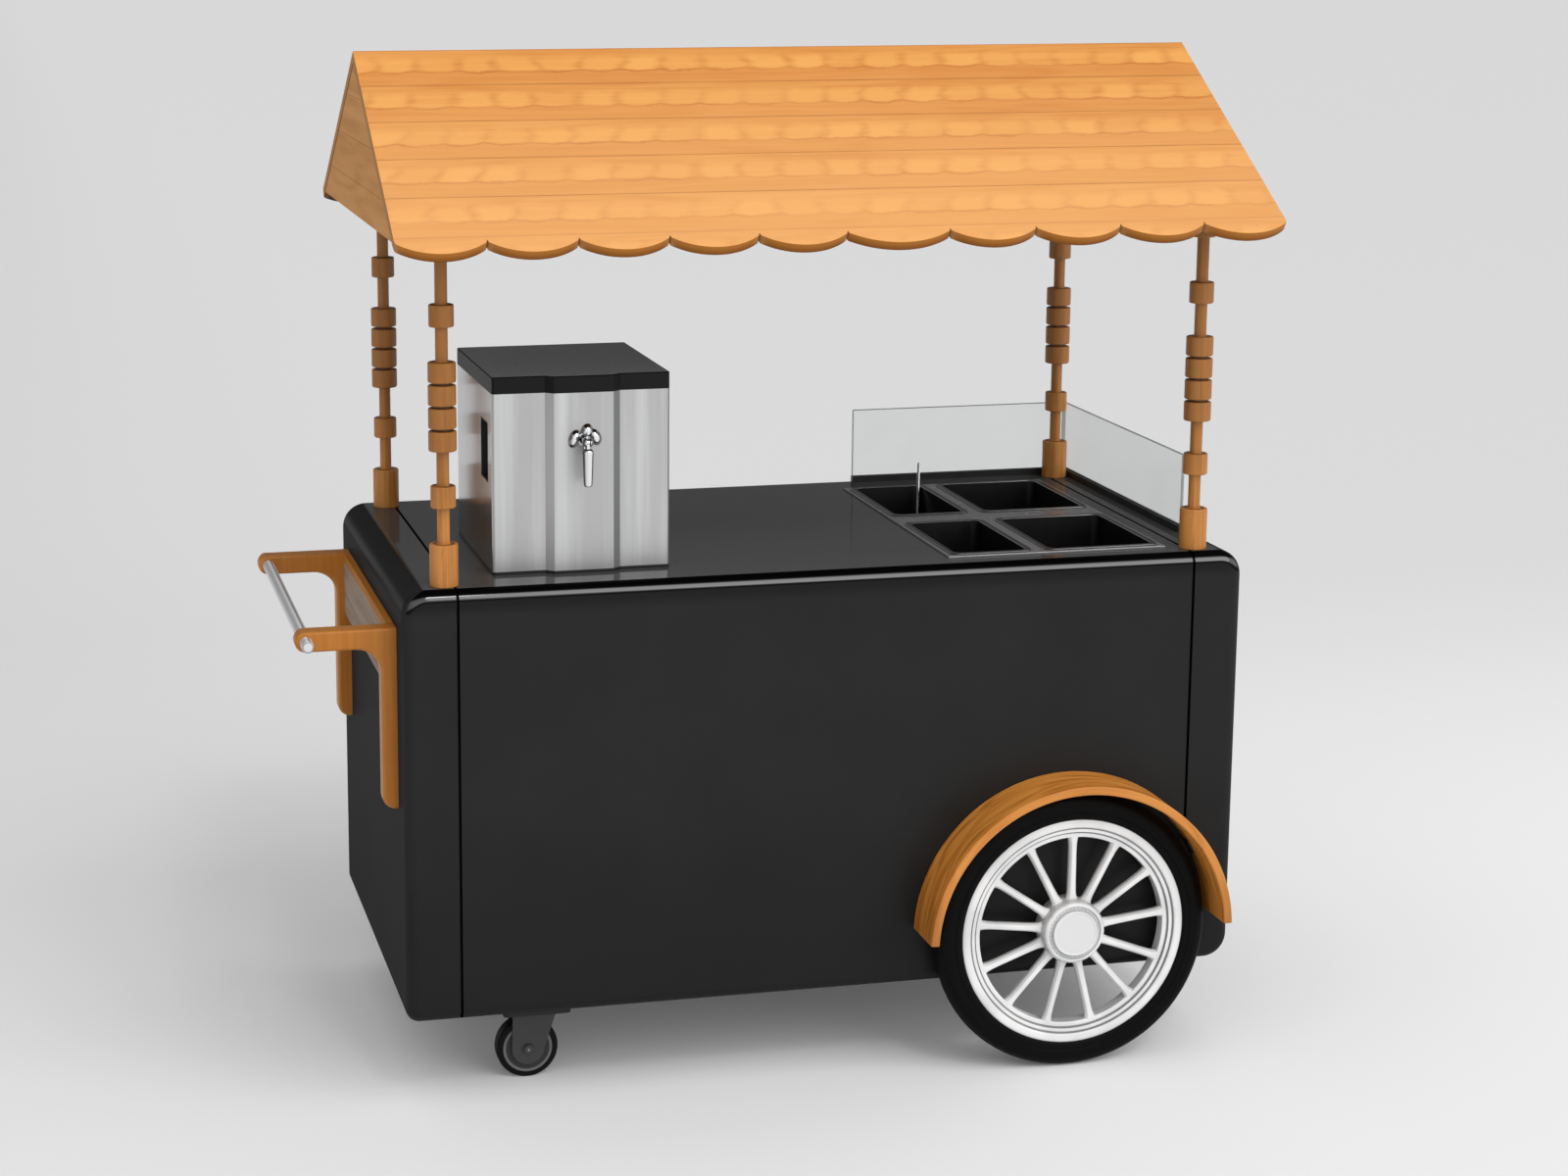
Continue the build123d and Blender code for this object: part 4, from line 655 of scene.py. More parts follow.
bracket_colours = (paint(168, 100, 24), paint(174, 107, 30), paint(180, 114, 36))
bracket_wood = sawn_wood("bracket_wood", (70, 60, 5), bracket_colours, 0.3, 0.35)
for end, side in SIDES:
    bracket = bmesh.new()
    near = side * BRACKET_SPREAD - BRACKET_WIDTH / 2
    corners = [bracket.verts.new(Vector((x, near, z)) * MM) for x, z, _ in BRACKET_CORNERS]
    bracket.faces.new(corners)
    soften(bracket, corners, [rounding for _, _, rounding in BRACKET_CORNERS])
    raised(bracket, bracket.faces[:][0], (0, BRACKET_WIDTH * MM, 0))
    rims = [
        e for e in bracket.edges
        if abs(e.verts[0].co.y - e.verts[1].co.y) < 1e-6
        and (e.verts[0].co.x + e.verts[1].co.x) / 2 < (BRACKET_WALL - 0.1) * MM
    ]
    eased(bracket, rims, 6, 4)
    piece(
        end + "_rounded_bracket", bracket, bracket_wood, "cart", [end + "_handle_bracket"], 50,
    )


def board_finish(name):
    """Grey-brown face, varnished wood with a painted reflection of the pale backdrop, with the varnish of the
    brackets along its upper edge.
    """
    material, place = finish(name, {"Specular IOR Level": 0.15})
    figure = wood_figure(stretched(place, 80, 5, 80))
    # painted reflection: the wood face greyed as it mirrors the pale backdrop
    face = wood_tone(figure, paint(122, 102, 88), paint(146, 124, 108), paint(160, 140, 124))
    edge = wood_tone(figure, *bracket_colours)
    top = between(axes(place)[2], 0.857, 0.859)
    return varnish(material, figure, mixed(top, face, edge), 0.55)


dress(board_finish("grey_board_wood"), "handle_board")
bar_low, bar_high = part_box("handle_bar")
bar_middle = (bar_low + bar_high) / 2
bar_length = (bar_high.y - bar_low.y) / MM
bar_radius = (bar_high.x - bar_low.x) / 2 / MM


def bar_finish(name):
    """Drawn steel tube with painted reflections: a lighter and a darker side and a bright and a dark line
    along its inner side, and a grey ring painted as shade round the rim of each end.
    """
    material, place = finish(name, {"Metallic": 0.4})
    x, _, z = axes(place)
    turn_x, turn_y, turn_z = facing(place)
    inner = 0.92 * turn_x + 0.4 * turn_z
    wear = speckle(stretched(place, 60, 4, 60), 1.0, 2)
    reach = apart(x - bar_middle.x, z - bar_middle.z) / (bar_radius * MM)
    end = mixed(between(reach, 0.55, 0.9), paint(214, 216, 217), paint(140, 141, 142))
    colour = coats(
        # painted reflections: lighter and darker sides, a bright and a dark line along the tube
        mixed(between(inner, -0.95, -0.35), paint(222, 223, 224), paint(202, 203, 205)),
        (between(inner, -0.05, 0.3), grey(250)),
        (stripe(inner, 0.66, 0.17, 0.07) * 0.9, paint(120, 121, 122)),
        (between(inner, 0.78, 0.9), grey(252)),
        # painted shade: a grey ring round the rounded rim of each end
        (between(abs(turn_y), 0.5, 0.8), end),
    )
    return feed(material, {
        "Base Color": colour,
        "Roughness": between(wear, 0.25, 0.75, 0.34, 0.4),
    })


bar_steel = bar_finish("satin_bar_steel")
bar = bmesh.new()
bar_outline = (
    (0, 0, 0), (bar_radius - 1, 0, 2), (bar_radius, 3, 1), (bar_radius, bar_length - 3, 1),
    (bar_radius - 1, bar_length, 2), (0, bar_length, 0),
)
turned(bar, bar_outline, (bar_middle.x, bar_low.y, bar_middle.z), (0, 1, 0), steps=64)
piece("round_push_bar", bar, bar_steel, "cart", ["handle_bar"])


# Posts: four turned wooden posts, each a rod with a stout base, plain beads and a stack of
# four in the middle, on steel studs in the body and dowelled into the roof rails.

POST_MIDDLE = 0.0805
POST_SPREAD = 0.698
POST_DEPTH = 0.352
POST_HEIGHT = 632
HEAD_FOOT = 575
BASE_HEIGHT = 75
BASE_RADIUS = 25
ROD_RADIUS = 11
NECK_RADIUS = 16
BEAD_RADIUS = 22
BEAD_EDGE = 2.6
BEADS = ((138.5, 177.5), (454.5, 493.5))
STACK_RADIUS = 24.5
STACK_BEADS = 4
STACK_FOOT = 238.25
STACK_STEP = 40
STACK_BEAD = 35.5


def bead(radius, low, high, below=ROD_RADIUS, above=ROD_RADIUS):
    """Corners of one bead, from the rod below it to the rod above it."""
    return [(below, low, 0), (radius, low, BEAD_EDGE), (radius, high, BEAD_EDGE), (above, high, 0)]


def turned_wood(name):
    """Wood with upright grain, painted browner higher up as the roof's shade and painted dark in the necks as
    shade.
    """
    material, place = finish(name, {"Specular IOR Level": 0.35})
    x, y, z = axes(place)
    radius = apart(abs(abs(x - POST_MIDDLE) - POST_SPREAD), abs(abs(y) - POST_DEPTH))
    figure = wood_figure(stretched(place, 90, 90, 7))
    neck_shade = between(radius, 0.0215, 0.0175) * between(radius, 0.0125, 0.0145)
    colour = coats(
        wood_tone(figure, paint(158, 98, 38), paint(186, 122, 55), paint(199, 136, 69)),
        # painted shade: browner higher up, under the roof
        (between(z, 0.98, 1.22) * 0.6, paint(126, 78, 30)),
        # painted shade: dark in the necks between the beads
        (neck_shade * 0.8, paint(64, 36, 14)),
    )
    return varnish(material, figure, colour, 0.36)


post_outline = [(0, 0, 0), (BASE_RADIUS, 0, 1), (BASE_RADIUS, BASE_HEIGHT, BEAD_EDGE)]
post_outline += [(ROD_RADIUS, BASE_HEIGHT, 0)]
post_outline += bead(BEAD_RADIUS, *BEADS[0])
for number in range(STACK_BEADS):
    low = STACK_FOOT + number * STACK_STEP
    below = NECK_RADIUS if number > 0 else ROD_RADIUS
    above = NECK_RADIUS if number < STACK_BEADS - 1 else ROD_RADIUS
    post_outline += bead(STACK_RADIUS, low, low + STACK_BEAD, below, above)
post_outline += bead(BEAD_RADIUS, *BEADS[1])
post_outline += [(ROD_RADIUS, HEAD_FOOT, 0), (BEAD_RADIUS, HEAD_FOOT, BEAD_EDGE)]
post_outline += [(BEAD_RADIUS, POST_HEIGHT, 1), (0, POST_HEIGHT, 0)]
post_wood = turned_wood("turned_post_wood")
for end, side in SIDES:
    for hand, way in (("left", -1), ("right", 1)):
        name = end + "_" + hand
        post = bmesh.new()
        foot = (POST_MIDDLE + way * POST_SPREAD, side * POST_DEPTH, COUNTER_Z)
        turned(post, post_outline, foot, (0, 0, 1), steps=48)
        piece(name + "_turned_post", post, post_wood, "cart", [name + "_post"], 45)


# Roof: two sloping panels of five boards and a scalloped valance board, mitred at the ridge,
# nailed to end boards and to rails on the posts. Each course shows a row of rounded lighter
# shingle ends above a slightly darker strip. The slope is painted lighter towards the eaves
# as lit, the eased edges carry a painted highlight, the board edges are painted darker below
# the face as shade, and the underside is painted dark as shade.

RIDGE_Z = 1.857
ROOF_LEFT = -0.7155
ROOF_RIGHT = 0.8765
ROOF_MIDDLE = (ROOF_LEFT + ROOF_RIGHT) / 2
ROOF_RISE = 0.293
ROOF_REACH = 0.485
ROOF_SLOPE = math.atan2(ROOF_RISE, ROOF_REACH)
ROOF_THICKNESS = 0.018
COURSE = 0.1106
COURSES = 5
EAVE_RUN = ROOF_REACH / math.cos(ROOF_SLOPE)
SCALLOPS = 10
WIDE_SCALLOP = 5
WIDE_EXTRA = 0.028
SCALLOP_DEPTH = 0.031
NOTCH = 0.002
NOTCH_RISE = 0.005
SHINGLE = 0.076
BOARD_GAP = 0.0002


def on_slope(along, down, rise, side):
    """Point of a roof panel from its place along the ridge, down the slope and above it."""
    y = side * (down * math.cos(ROOF_SLOPE) + rise * math.sin(ROOF_SLOPE))
    return Vector((along, y, RIDGE_Z - down * math.sin(ROOF_SLOPE) + rise * math.cos(ROOF_SLOPE)))


def under_slope(y, z):
    """Depth below the upper face of the roof."""
    return (RIDGE_Z - z) * math.cos(ROOF_SLOPE) - abs(y) * math.sin(ROOF_SLOPE)


def course_board(shape, number, side):
    """One board of the slope, the upper edges eased so that the joints show."""
    top = number * COURSE + BOARD_GAP if number else 0
    foot = (number + 1) * COURSE
    start = top if number else ROOF_THICKNESS * math.tan(ROOF_SLOPE)
    section = ((top, 0), (foot, 0), (foot, -ROOF_THICKNESS), (start, -ROOF_THICKNESS))
    before = set(shape.edges)
    face = shape.faces.new([shape.verts.new(on_slope(ROOF_LEFT, v, h, side)) for v, h in section])
    raised(shape, face, (ROOF_RIGHT - ROOF_LEFT, 0, 0))
    outer = []
    for edge in set(shape.edges) - before:
        middle = (edge.verts[0].co + edge.verts[1].co) / 2
        if abs(under_slope(middle.y, middle.z)) < 1e-4 and abs(middle.y) > 1e-4:
            outer.append(edge)
    eased(shape, outer, 0.9)


def valance(shape, side):
    """Lowest board, its edge cut in scallops with a small notch between them, rounded over."""
    top = COURSES * COURSE + BOARD_GAP
    plain = (ROOF_RIGHT - ROOF_LEFT - WIDE_EXTRA) / SCALLOPS
    normal = on_slope(0, 0, 1, side) - on_slope(0, 0, 0, side)
    start = shape.verts.new(on_slope(ROOF_LEFT, top, 0, side))
    last = start
    ends = []
    place = ROOF_LEFT
    for number in range(SCALLOPS):
        width = plain + WIDE_EXTRA if number == WIDE_SCALLOP else plain
        radius = (width ** 2 / 4 + SCALLOP_DEPTH ** 2) / (2 * SCALLOP_DEPTH)
        hub = EAVE_RUN + SCALLOP_DEPTH - radius
        left = width / 2 - (NOTCH if number > 0 else 0)
        right = width / 2 - (NOTCH if number < SCALLOPS - 1 else 0)
        drop = hub + math.sqrt(radius ** 2 - left ** 2)
        corner = shape.verts.new(on_slope(place + width / 2 - left, drop, 0, side))
        shape.edges.new((last, corner))
        arc = bmesh.ops.spin(
            shape, geom=[corner], cent=on_slope(place + width / 2, hub, 0, side), axis=normal, dvec=(0, 0, 0),
            angle=-side * (math.asin(left / radius) + math.asin(right / radius)), steps=18, use_merge=False,
            use_duplicate=False,
        )["geom_last"][0]
        place += width
        if number == 0:
            ends.append(corner)
        if number < SCALLOPS - 1:
            last = shape.verts.new(on_slope(place, EAVE_RUN - NOTCH_RISE, 0, side))
            shape.edges.new((arc, last))
    ends.append(arc)
    end = shape.verts.new(on_slope(ROOF_RIGHT, top, 0, side))
    shape.edges.new((arc, end))
    shape.edges.new((end, start))
    bmesh.ops.contextual_create(shape, geom=[e for e in shape.edges if e.is_wire])
    soften(shape, ends, [5, 5])
    raised(shape, shape.faces[:][0], -normal * ROOF_THICKNESS)
    low = on_slope(0, EAVE_RUN - NOTCH_RISE, 0, side).z + 0.001
    upper = []
    lower = []
    for edge in shape.edges:
        along = (edge.verts[0].co - edge.verts[1].co).normalized()
        if max(v.co.z for v in edge.verts) < low and abs(along.dot(normal)) < 0.5:
            height = (edge.verts[0].co - on_slope(0, 0, 0, side)).dot(normal)
            (upper if height > -ROOF_THICKNESS / 2 else lower).append(edge)
    eased(shape, upper, 4.5, 4)
    eased(shape, [e for e in lower if e.is_valid], 2)


def shingle_wood(name):
    """Honey wood in courses, the ends and edges browner; painted lighter towards the eaves, with a painted
    highlight on the eased edges and painted shade down the board edges and on the underside.
    """
    material, place = finish(name, {"Specular IOR Level": 0.1})
    x, y, z = axes(place)
    turn_x, _, turn_z = facing(place)
    course = (RIDGE_Z - z) / (math.sin(ROOF_SLOPE) * COURSE)
    row = course.math("FLOOR", course)
    part = course - row
    drift = speckle(stretched(place, 1, 3, 3), 7, 2) - 0.5
    ragged = speckle(stretched(place, 1, 2, 2), 26, 3, 0.6) - 0.5
    cell = x / SHINGLE + row * 0.37 + 0.7 * drift + 0.3 * (part - 0.4)
    number = cell.math("FLOOR", cell)
    across = 2 * (cell - number) - 1
    seed = row.node("CombineXYZ", {}, {0: number, 1: row})
    chance = row.node("TexWhiteNoise", {"noise_dimensions": "2D"}, {"Vector": seed})
    wave = 0.59 + 0.05 * (1 - across ** 2) + 0.12 * ragged
    inside = between(part + 0.2 * ragged, 0.12, 0.36) * between(part - wave, 0.01, -0.05)
    bloom = inside * between(abs(across) + 0.5 * ragged, 1.1, 0.5) * (0.45 + 0.55 * chance)
    strip = between(part - wave, -0.03, 0.05)
    lip = stripe(part - wave, 0.015, 0.04, 0.006) * (0.3 + 0.7 * between(drift, -0.12, 0.12))
    joint = between(abs(part - 0.5), 0.468, 0.495) * (0.6 + 0.4 * between(drift, -0.15, 0.1))
    figure = wood_figure(stretched(place, 4.5, 120, 120), 6.0)
    streaks, bands, _ = figure
    board = 0.5 * streaks + 0.3 * speckle(stretched(place, 1.3, 6, 6), 1.0, 3) + 0.1 * bands
    stops = [(0.32, paint(204, 131, 61)), (0.46, paint(213, 144, 73)), (0.6, paint(220, 153, 82))]
    upper_face = coats(
        board.node("ValToRGB", {"stops": stops}, {0: board}),
        (bloom * 0.9, paint(231, 165, 88)),
        (strip * (0.05 + 0.5 * streaks), paint(206, 132, 66)),
        (lip * 0.7, paint(184, 110, 52)),
        (joint * 0.6, paint(160, 90, 42)),
        # painted light: the slope lighter towards the eaves
        (between(z, 1.86, 1.56) * 0.4, paint(244, 184, 124)),
    )
    underside_shade = between(turn_z, -0.62, -0.8) * between(abs(x - ROOF_MIDDLE), 0.79, 0.78)
    bevel = between(turn_z, 0.85, 0.8) * between(turn_z, 0.4, 0.62)
    colour = coats(
        # painted shade: board edges darker further below the upper face
        mixed(between(under_slope(y, z), 0.003, 0.016), paint(172, 110, 46), paint(128, 76, 28)),
        (0.4 * streaks, paint(150, 90, 36)),
        # painted shade on the underside
        (underside_shade, paint(62, 40, 24)),
        (between(abs(turn_x), 0.5, 0.8), paint(176, 124, 74)),
        (between(turn_z, 0.45, 0.7), upper_face),
        # painted highlight on the eased upper edges
        (bevel * 0.4, paint(240, 184, 112)),
    )
    return varnish(material, figure, colour, 0.5)


roof_wood = shingle_wood("shingle_wood")
for end, side in SIDES:
    panel = bmesh.new()
    valance(panel, side)
    for number in range(COURSES):
        course_board(panel, number, side)
    piece(end + "_roof_boards", panel, roof_wood, "cart", [end + "_roof_panel"])


def sliced(shape, point, direction, **cleared):
    """Cuts a shape along a plane and clears one side of it where asked."""
    everything = shape.verts[:] + shape.edges[:] + shape.faces[:]
    bmesh.ops.bisect_plane(
        shape, geom=everything, dist=1e-7, plane_co=point, plane_no=direction, **cleared,
    )


def joined(shape, part):
    """Adds a part that is finished to a shape."""
    mesh = bpy.data.meshes.new("part")
    part.to_mesh(mesh)
    part.free()
    shape.from_mesh(mesh)
    bpy.data.meshes.remove(mesh)


gable_colours = (paint(190, 136, 83), paint(204, 148, 93), paint(212, 158, 104))
gable_wood = sawn_wood("gable_wood", (95, 4, 60), gable_colours, 0.7, 0.05)
GABLE_JOINTS = (1.56, 1.623, 1.699, 1.775, 1.86)
for end in ("left", "right"):
    low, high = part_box(end + "_gable")
    boards = bmesh.new()
    for bottom, top in zip(GABLE_JOINTS, GABLE_JOINTS[1:]):
        strip = bmesh.new()
        corners = ((low.y, low.z), (high.y, low.z), (0, high.z))
        strip.faces.new([strip.verts.new((low.x, y, z)) for y, z in corners])
        for level, inner in ((bottom + BOARD_GAP, True), (top, False)):
            sliced(strip, (0, 0, level), (0, 0, 1), clear_inner=inner, clear_outer=not inner)
        raised(strip, strip.faces[:][0], (high.x - low.x, 0, 0))
        eased(strip, strip.edges[:], 0.6)
        joined(boards, strip)
    piece(end + "_gable_boards", boards, gable_wood, "cart", [end + "_gable"])
rail_colours = (paint(70, 44, 24), paint(92, 60, 34), paint(108, 72, 42))
dress(sawn_wood("roof_rail_wood", (5, 95, 95), rail_colours, 0.6, 0.1), "roof_rails")


# Glass guard: two panes of clear float glass with ground edges, behind and beside the pans,
# stood in a small black coated channel on the counter.

def pane_finish(name, thin_axis):
    """Clear glass that lets the light through, greyer along its ground edges."""
    material, place = finish(name, {"Roughness": 0.06, "Specular IOR Level": 0.5})
    flat = between(abs(facing(place)[thin_axis]), 0.9, 0.98)
    smear = speckle(place, 6, 4, 0.6)
    clear = place.node("BsdfTransparent", {}, {"Color": (0.955, 0.962, 0.96, 1)})
    sheen = place.node("Fresnel", {}, {"IOR": 1.45})
    cover = flat * (0.03 + 0.16 * sheen + 0.03 * between(smear, 0.45, 0.8)) + (1 - flat) * 0.75
    layered(material, cover, clear)
    ground = mixed(smear, paint(116, 122, 121), paint(140, 146, 145))
    return feed(material, {"Base Color": mixed(flat, ground, paint(232, 234, 234))})


def slab(shape, low, high):
    """Upright block between two corners."""
    made = bmesh.ops.create_cube(shape, size=1)["verts"]
    bmesh.ops.scale(shape, verts=made, vec=high - low)
    bmesh.ops.translate(shape, verts=made, vec=(low + high) / 2)


for name, thin_axis in (("rear_glass", 1), ("right_glass", 0)):
    pane = bmesh.new()
    slab(pane, *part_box(name))
    eased(pane, pane.edges[:], 1.5, 1)
    pane_name = name.replace("glass", "ground_pane")
    piece(pane_name, pane, pane_finish(pane_name, thin_axis), "cart", [name], 20)
dress(powder_coat("channel_coat", grey(24), grey(34), 0.35), "glass_channel")


# Serving pans: four black pressed pans with flat flanges, hung in a dark painted frame let
# into the counter. The pans' rims and the frame's edges are rubbed bright. A steel spoon
# stands in one pan.

FRAME_TOP = 0.953
FRAME_SHEET = 0.003
FRAME_X = (0.3105, 0.7305)
FRAME_Y = (-0.341, 0.313)
PAN_COLUMNS = {"left": (329.5, 137), "right": (511.5, 200)}
PAN_ROWS = {"front": -322, "rear": 28}
PAN_DEEP = 266
PAN_ROOM = 3
PAN_CORNER = 14
PAN_TAPER = 14
PAN_FOOT = 807
PAN_LOOPS = (
    (0, 951), (0, 954.2), (0.9, 955), (10.1, 955), (11, 954.2), (11, 953.05), (2, 953), (-5, 805),
)


def rubbed(name, dark, light, bright, roughness, shine):
    """Dark finish, bare bright metal along the eased upper edges."""
    material, place = finish(name, {"Specular IOR Level": shine})
    rise = facing(place)[2]
    edge = between(rise, 0.97, 0.9) * between(rise, 0.2, 0.4) * between(axes(place)[2], 0.9505, 0.9515)
    wear = speckle(place, 45, 4, 0.6)
    edge = edge * (0.75 + 0.25 * wear)
    return feed(material, {
        "Base Color": mixed(edge, mixed(wear, dark, light), bright),
        "Metallic": edge,
        "Roughness": roughness + 0.12 * wear,
        "Normal": ridged(speckle(place, 500, 2), 0.0002, 0.1),
    })


bright_edge = paint(214, 215, 216)
frame_coat = rubbed("frame_coat", paint(104, 104, 105), paint(116, 116, 117), bright_edge, 0.2, 0.5)
ledge = bmesh.new()
SQUARE = ((0, 0), (1, 0), (1, 1), (0, 1))
sheet = [ledge.verts.new((FRAME_X[a], FRAME_Y[b], FRAME_TOP - FRAME_SHEET)) for a, b in SQUARE]
ledge.faces.new(sheet)
for start, width in PAN_COLUMNS.values():
    for cut in (start - PAN_ROOM, start + width + PAN_ROOM):
        sliced(ledge, (cut * MM, 0, 0), (1, 0, 0))
for start in PAN_ROWS.values():
    for cut in (start - PAN_ROOM, start + PAN_DEEP + PAN_ROOM):
        sliced(ledge, (0, cut * MM, 0), (0, 1, 0))
holes = []
for face in ledge.faces:
    middle = face.calc_center_median() / MM
    in_column = any(start < middle.x < start + width for start, width in PAN_COLUMNS.values())
    in_row = any(start < middle.y < start + PAN_DEEP for start in PAN_ROWS.values())
    if in_column and in_row:
        holes.append(face)
bmesh.ops.delete(ledge, geom=holes, context="FACES")
grown = bmesh.ops.extrude_face_region(ledge, geom=ledge.faces[:])["geom"]
bmesh.ops.translate(ledge, verts=only(bmesh.types.BMVert, grown), vec=(0, 0, FRAME_SHEET))
top_rims = [
    e for e in ledge.edges
    if len(e.link_faces) == 2 and e.calc_face_angle() > 1 and min(v.co.z for v in e.verts) > FRAME_TOP - 1e-5
]
eased(ledge, top_rims, 1.3)
piece("pan_ledge", ledge, frame_coat, "cart", ["pan_frame"])

pan_black = rubbed("pan_black", paint(8, 8, 9), paint(13, 13, 14), bright_edge, 0.26, 0.4)
for row, start_y in PAN_ROWS.items():
    for column, (start_x, width) in PAN_COLUMNS.items():
        pan = bmesh.new()
        middle = Vector((start_x + width / 2, start_y + PAN_DEEP / 2, PAN_FOOT)) * MM
        sizes = (width - PAN_TAPER, PAN_DEEP - PAN_TAPER)
        corners = [
            pan.verts.new(middle + Vector(((a - 0.5) * sizes[0], (b - 0.5) * sizes[1], 0)) * MM)
            for a, b in SQUARE
        ]
        pan.faces.new(corners)
        soften(pan, corners, [PAN_CORNER] * 4)
        rim = pan.edges[:]
        height = PAN_FOOT
        for grow, level in PAN_LOOPS:
            lifted = bmesh.ops.extrude_edge_only(pan, edges=rim)["geom"]
            verts = only(bmesh.types.BMVert, lifted)
            rim = only(bmesh.types.BMEdge, lifted)
            next_sizes = (width + 2 * grow, PAN_DEEP + 2 * grow)
            bmesh.ops.translate(pan, verts=verts, vec=(0, 0, (level - height) * MM))
            bmesh.ops.scale(
                pan, verts=verts, vec=(next_sizes[0] / sizes[0], next_sizes[1] / sizes[1], 1),
                space=Matrix.Translation(-middle),
            )
            sizes = next_sizes
            height = level
        bmesh.ops.contextual_create(pan, geom=rim)
        name = row + "_" + column
        piece(name + "_pressed_pan", pan, pan_black, name + "_pan_set", [name + "_pan"])
spoon_steel = plain_metal("spoon_steel", paint(196, 197, 199), paint(222, 222, 223), 0.2, 0.3)
dress(spoon_steel, "serving_spoon")


# Drink dispenser: a folded stainless case with a middle bay standing forward, black moulded
# lid and grip cups, a welded inner tank, and a chromed tap with a lobed plate and a lever.

TAP_X = -0.359
TAP_Z = 1.191
BAY_Y = -0.31
NOZZLE_Y = -0.3235
LEVER_Y = -0.344


def case_finish(name):
    """Stainless sheet with fine upright brushing, the sides polished, the fold strips painted lighter facing
    left and darker facing right as light and shade, and a black strip painted along the foot as its contact
    shadow.
    """
    material, place = finish(name, {})
    brushing = speckle(stretched(place, 900, 900, 7), 1.0, 4, 0.6)
    clouds = speckle(place, 7, 3, 0.55)
    across = facing(place)[0]
    side = between(abs(across), 0.8, 0.98)
    fold = between(abs(across), 0.2, 0.5) * (1 - side)
    fold_light_and_shade = mixed(between(across, -0.1, 0.1), paint(178, 179, 180), paint(128, 129, 131))
    foot = between(axes(place)[2], 0.9565, 0.955)
    bands = speckle(stretched(place, 22, 22, 0.9), 1.0, 3, 0.6)
    colour = coats(
        mixed(clouds, paint(175, 176, 175), paint(186, 186, 185)),
        (between(bands, 0.38, 0.68), paint(204, 205, 205)),
        # painted light and shade: fold strips lighter facing left, darker facing right
        (fold, fold_light_and_shade),
        (side, paint(196, 196, 197)),
        # painted shadow: a black strip along the foot where it meets the counter
        (foot, grey(10)),
    )
    return feed(material, {
        "Base Color": colour,
        "Metallic": (1 - foot) * (1 - 0.5 * fold),
        "Roughness": 0.34 + 0.1 * brushing + 0.06 * clouds - 0.29 * side,
        "Normal": ridged(brushing * (1 - 0.9 * side), 0.0002, 0.1),
    })


def moulded_black(name, dark, light, roughness):
    material, place = finish(name, {"Specular IOR Level": 0.5})
    clouds = speckle(place, 14, 4, 0.6)
    return feed(material, {
        "Base Color": mixed(clouds, dark, light),
        "Roughness": roughness + 0.1 * clouds,
        "Normal": ridged(speckle(place, 1100, 2), 0.0003, 0.12),
    })


dress(case_finish("brushed_case_steel"), "dispenser_body", "dispenser_tank")
# lid greys: the end walls and the top painted much lighter than the front as lit
dress(shell_finish("lid_plastic", 22, 92, 94), "dispenser_lid")
dress(moulded_black("grip_plastic", paint(12, 12, 13), paint(18, 18, 19), 0.5), "dispenser_grips")


def tap_chrome(name):
    """Chrome with painted reflections: bright on what faces the customer and dark down the sides and in the
    hollows.
    """
    material, place = finish(name, {"Metallic": 1.0})
    front = between(abs(facing(place)[1]), 0.5, 0.93)
    smear = speckle(place, 160, 3, 0.6)
    return feed(material, {
        # painted reflections: light where it faces front, dark down the sides
        "Base Color": mixed(front, paint(92, 93, 95), paint(232, 233, 234)),
        "Roughness": 0.06 + 0.06 * smear,
    })


chrome = tap_chrome("tap_chrome")
LOBES = ((-17, 1, 1.45, 20), (20, 3, 1.35, -24), (5, 14, 1.2, 14))
LOBE = ((0, 9, 0), (4.5, 8.4, 1), (7.6, 6.2, 2), (9.6, 3.4, 1.5), (11.2, 1.6, 0.6), (11.6, 0, 0), (0, 0, 0))
BOSS = (
    (0, 0, 0), (12.5, 0, 0), (12.5, 3, 1), (9, 5, 1), (8, 12, 1), (9.2, 22, 2), (9.2, 28.6, 0.5),
    (0, 28.6, 0),
)
NOZZLE = ((0, -26, 0), (3.6, -26, 0), (6, -26, 0.8), (6, -22, 0.8), (5.2, -20, 0), (5.2, -2, 0), (0, -2, 0))
EAR_RADIUS = 9.5
EAR_GAP = 3.4
PIN = ((0, -7, 0), (2, -7, 0.5), (2, 7, 0.5), (0, 7, 0))
LEVER = (
    (0, -79, 0), (7.4, -79, 3.5), (8.2, -66, 1), (9.6, -26, 1), (9.6, -15, 2), (6, -11.6, 1),
    (3.4, -11.1, 0.3), (0, -11, 0),
)
EYE = ((2.1, -2.9, 0), (4.4, -2.9, 0.6), (4.4, 2.9, 0.6), (2.1, 2.9, 0))
NECK_LOW = Vector((-2.9, -3.4, -12)) * MM
NECK_HIGH = Vector((2.9, 3.4, -3.2)) * MM
pivot = Vector((TAP_X, LEVER_Y, TAP_Z))
tap = bmesh.new()
for x, z, length, lean in LOBES:
    before = set(tap.verts)
    lobe = Vector((TAP_X + x * MM, BAY_Y, TAP_Z + z * MM))
    turned(tap, LOBE, lobe, (0, -1, 0), steps=48)
    verts = list(set(tap.verts) - before)
    bmesh.ops.scale(tap, verts=verts, vec=(0.92, 1, length), space=Matrix.Translation(-lobe))
    lean_turn = Matrix.Rotation(math.radians(lean), 3, "Y")
    bmesh.ops.rotate(tap, verts=verts, cent=lobe, matrix=lean_turn)
turned(tap, BOSS, (TAP_X, BAY_Y, TAP_Z), (0, -1, 0), steps=48)
turned(tap, NOZZLE, (TAP_X, NOZZLE_Y, TAP_Z), (0, 0, 1), steps=40)
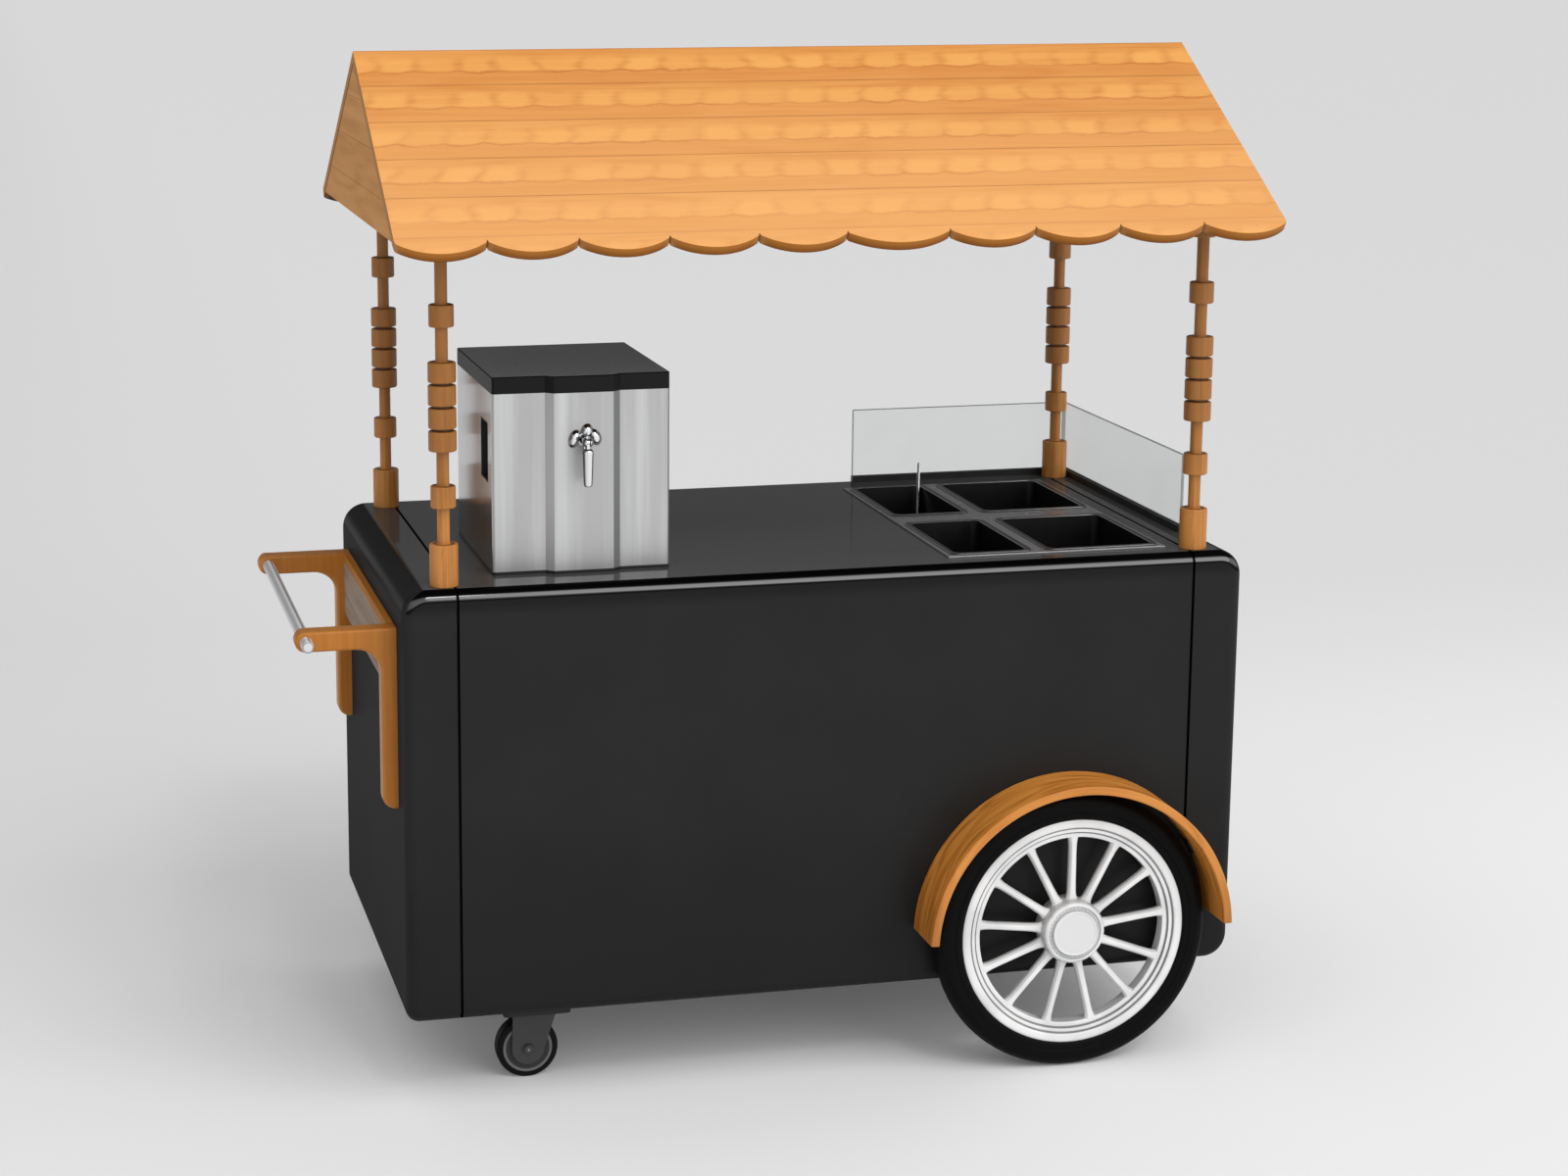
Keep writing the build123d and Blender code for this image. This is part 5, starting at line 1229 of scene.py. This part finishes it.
for side in (-1, 1):
    ear = bmesh.new()
    bmesh.ops.create_uvsphere(ear, u_segments=32, v_segments=20, radius=EAR_RADIUS * MM)
    bmesh.ops.translate(ear, verts=ear.verts[:], vec=pivot)
    sliced(ear, (TAP_X + side * EAR_GAP * MM, 0, 0), (side, 0, 0), clear_inner=True)
    bmesh.ops.holes_fill(ear, edges=ear.edges[:])
    joined(tap, ear)
turned(tap, PIN, pivot, (1, 0, 0), steps=24)
piece("lobed_tap", tap, chrome, "cart", ["tap_body"])
lever = bmesh.new()
turned(lever, LEVER, pivot, (0, 0, 1), steps=40)
turned(lever, EYE, pivot, (1, 0, 0), steps=32)
before = set(lever.edges)
slab(lever, pivot + NECK_LOW, pivot + NECK_HIGH)
eased(lever, list(set(lever.edges) - before), 0.5)
piece("turned_tap_lever", lever, chrome, "tap_handle", ["tap_lever"])


# Studio: a pale floor that runs out of sight and fills the shadow under the cart a little, a
# broad soft lamp in front and to the right with a smaller one above it, and a dome of light
# that is dim low down behind the cart.

FLOOR_REACH = 120
floor_shape = bmesh.new()
bmesh.ops.create_grid(floor_shape, x_segments=1, y_segments=1, size=FLOOR_REACH)
floor_mesh = bpy.data.meshes.new("studio_floor")
floor_shape.to_mesh(floor_mesh)
floor_shape.free()
studio_floor = placed("studio_floor", floor_mesh)
floor_constants = {"Roughness": 0.6, "Specular IOR Level": 0.15, "Emission Strength": 0.06}
material, place = finish("studio_floor_paint", floor_constants)
floor_x, floor_y, _ = axes(place)
# painted light: the floor darker to the left and further from the front
to_left = between(floor_x, 0.5, -2.5)
near_tone = mixed(to_left, (0.95, 0.95, 0.955, 1), (0.83, 0.83, 0.835, 1))
far_tone = mixed(to_left, (0.77, 0.77, 0.775, 1), (0.7, 0.7, 0.705, 1))
under_cart = between(abs(floor_x), 1.05, 0.45) * between(abs(floor_y), 0.62, 0.2)
feed(material, {
    "Base Color": mixed(between(floor_y, 0, 3.5), near_tone, far_tone),
    "Emission Color": mixed(under_cart, (0, 0, 0, 1), (1, 1, 1, 1)),
})
floor_mesh.materials.append(material)

world = bpy.data.worlds.new("studio_dome")
bpy.context.scene.world = world
world.use_nodes = True
dome = world.node_tree
sky = Tone(dome, dome.nodes.new("ShaderNodeTexCoord").outputs["Generated"])
sky_x, sky_y, sky_z = axes(sky)
before_cart = between(0.35 * abs(sky_x) - 0.94 * sky_y, -0.2, 0.5) * between(sky_x, -0.35, -0.9, 1.0, 0.5)
low_light = mixed(before_cart, (0.19, 0.19, 0.192, 1), (1.1, 1.1, 1.1, 1))
glow = mixed(between(sky_z + 0.25 * before_cart, 0.5, 1.0), low_light, (0.86, 0.86, 0.86, 1))
seen = sky.node("LightPath", {}, {}, 0)
shown = mixed(seen, glow, paint(214, 214, 216))
dome.links.new(shown.socket, dome.nodes["Background"].inputs["Color"])

for name, energy, spread, aim in (
    ("broad_lamp", 1.0, 52, (-0.46, 0.66, -0.66)),
    ("edge_lamp", 0.2, 8, (-0.1, 0.62, -0.78)),
):
    lamp = bpy.data.lights.new(name, "SUN")
    lamp.energy = energy
    lamp.angle = math.radians(spread)
    placed(name, lamp).rotation_euler = Vector(aim).to_track_quat("-Z", "Y").to_euler()

camera = bpy.data.cameras.new("camera")
camera.lens = 66.77
camera.sensor_width = 36
camera.shift_x = 0.1048
camera.shift_y = -0.0842
viewer = placed("camera", camera)
viewer.location = (-1.4035, -5.2338, 2.1072)
viewer.rotation_euler = Vector((0.2159, 0.95876, -0.18481)).to_track_quat("-Z", "Y").to_euler()
bpy.context.scene.camera = viewer
bpy.context.scene.view_settings.view_transform = "Standard"
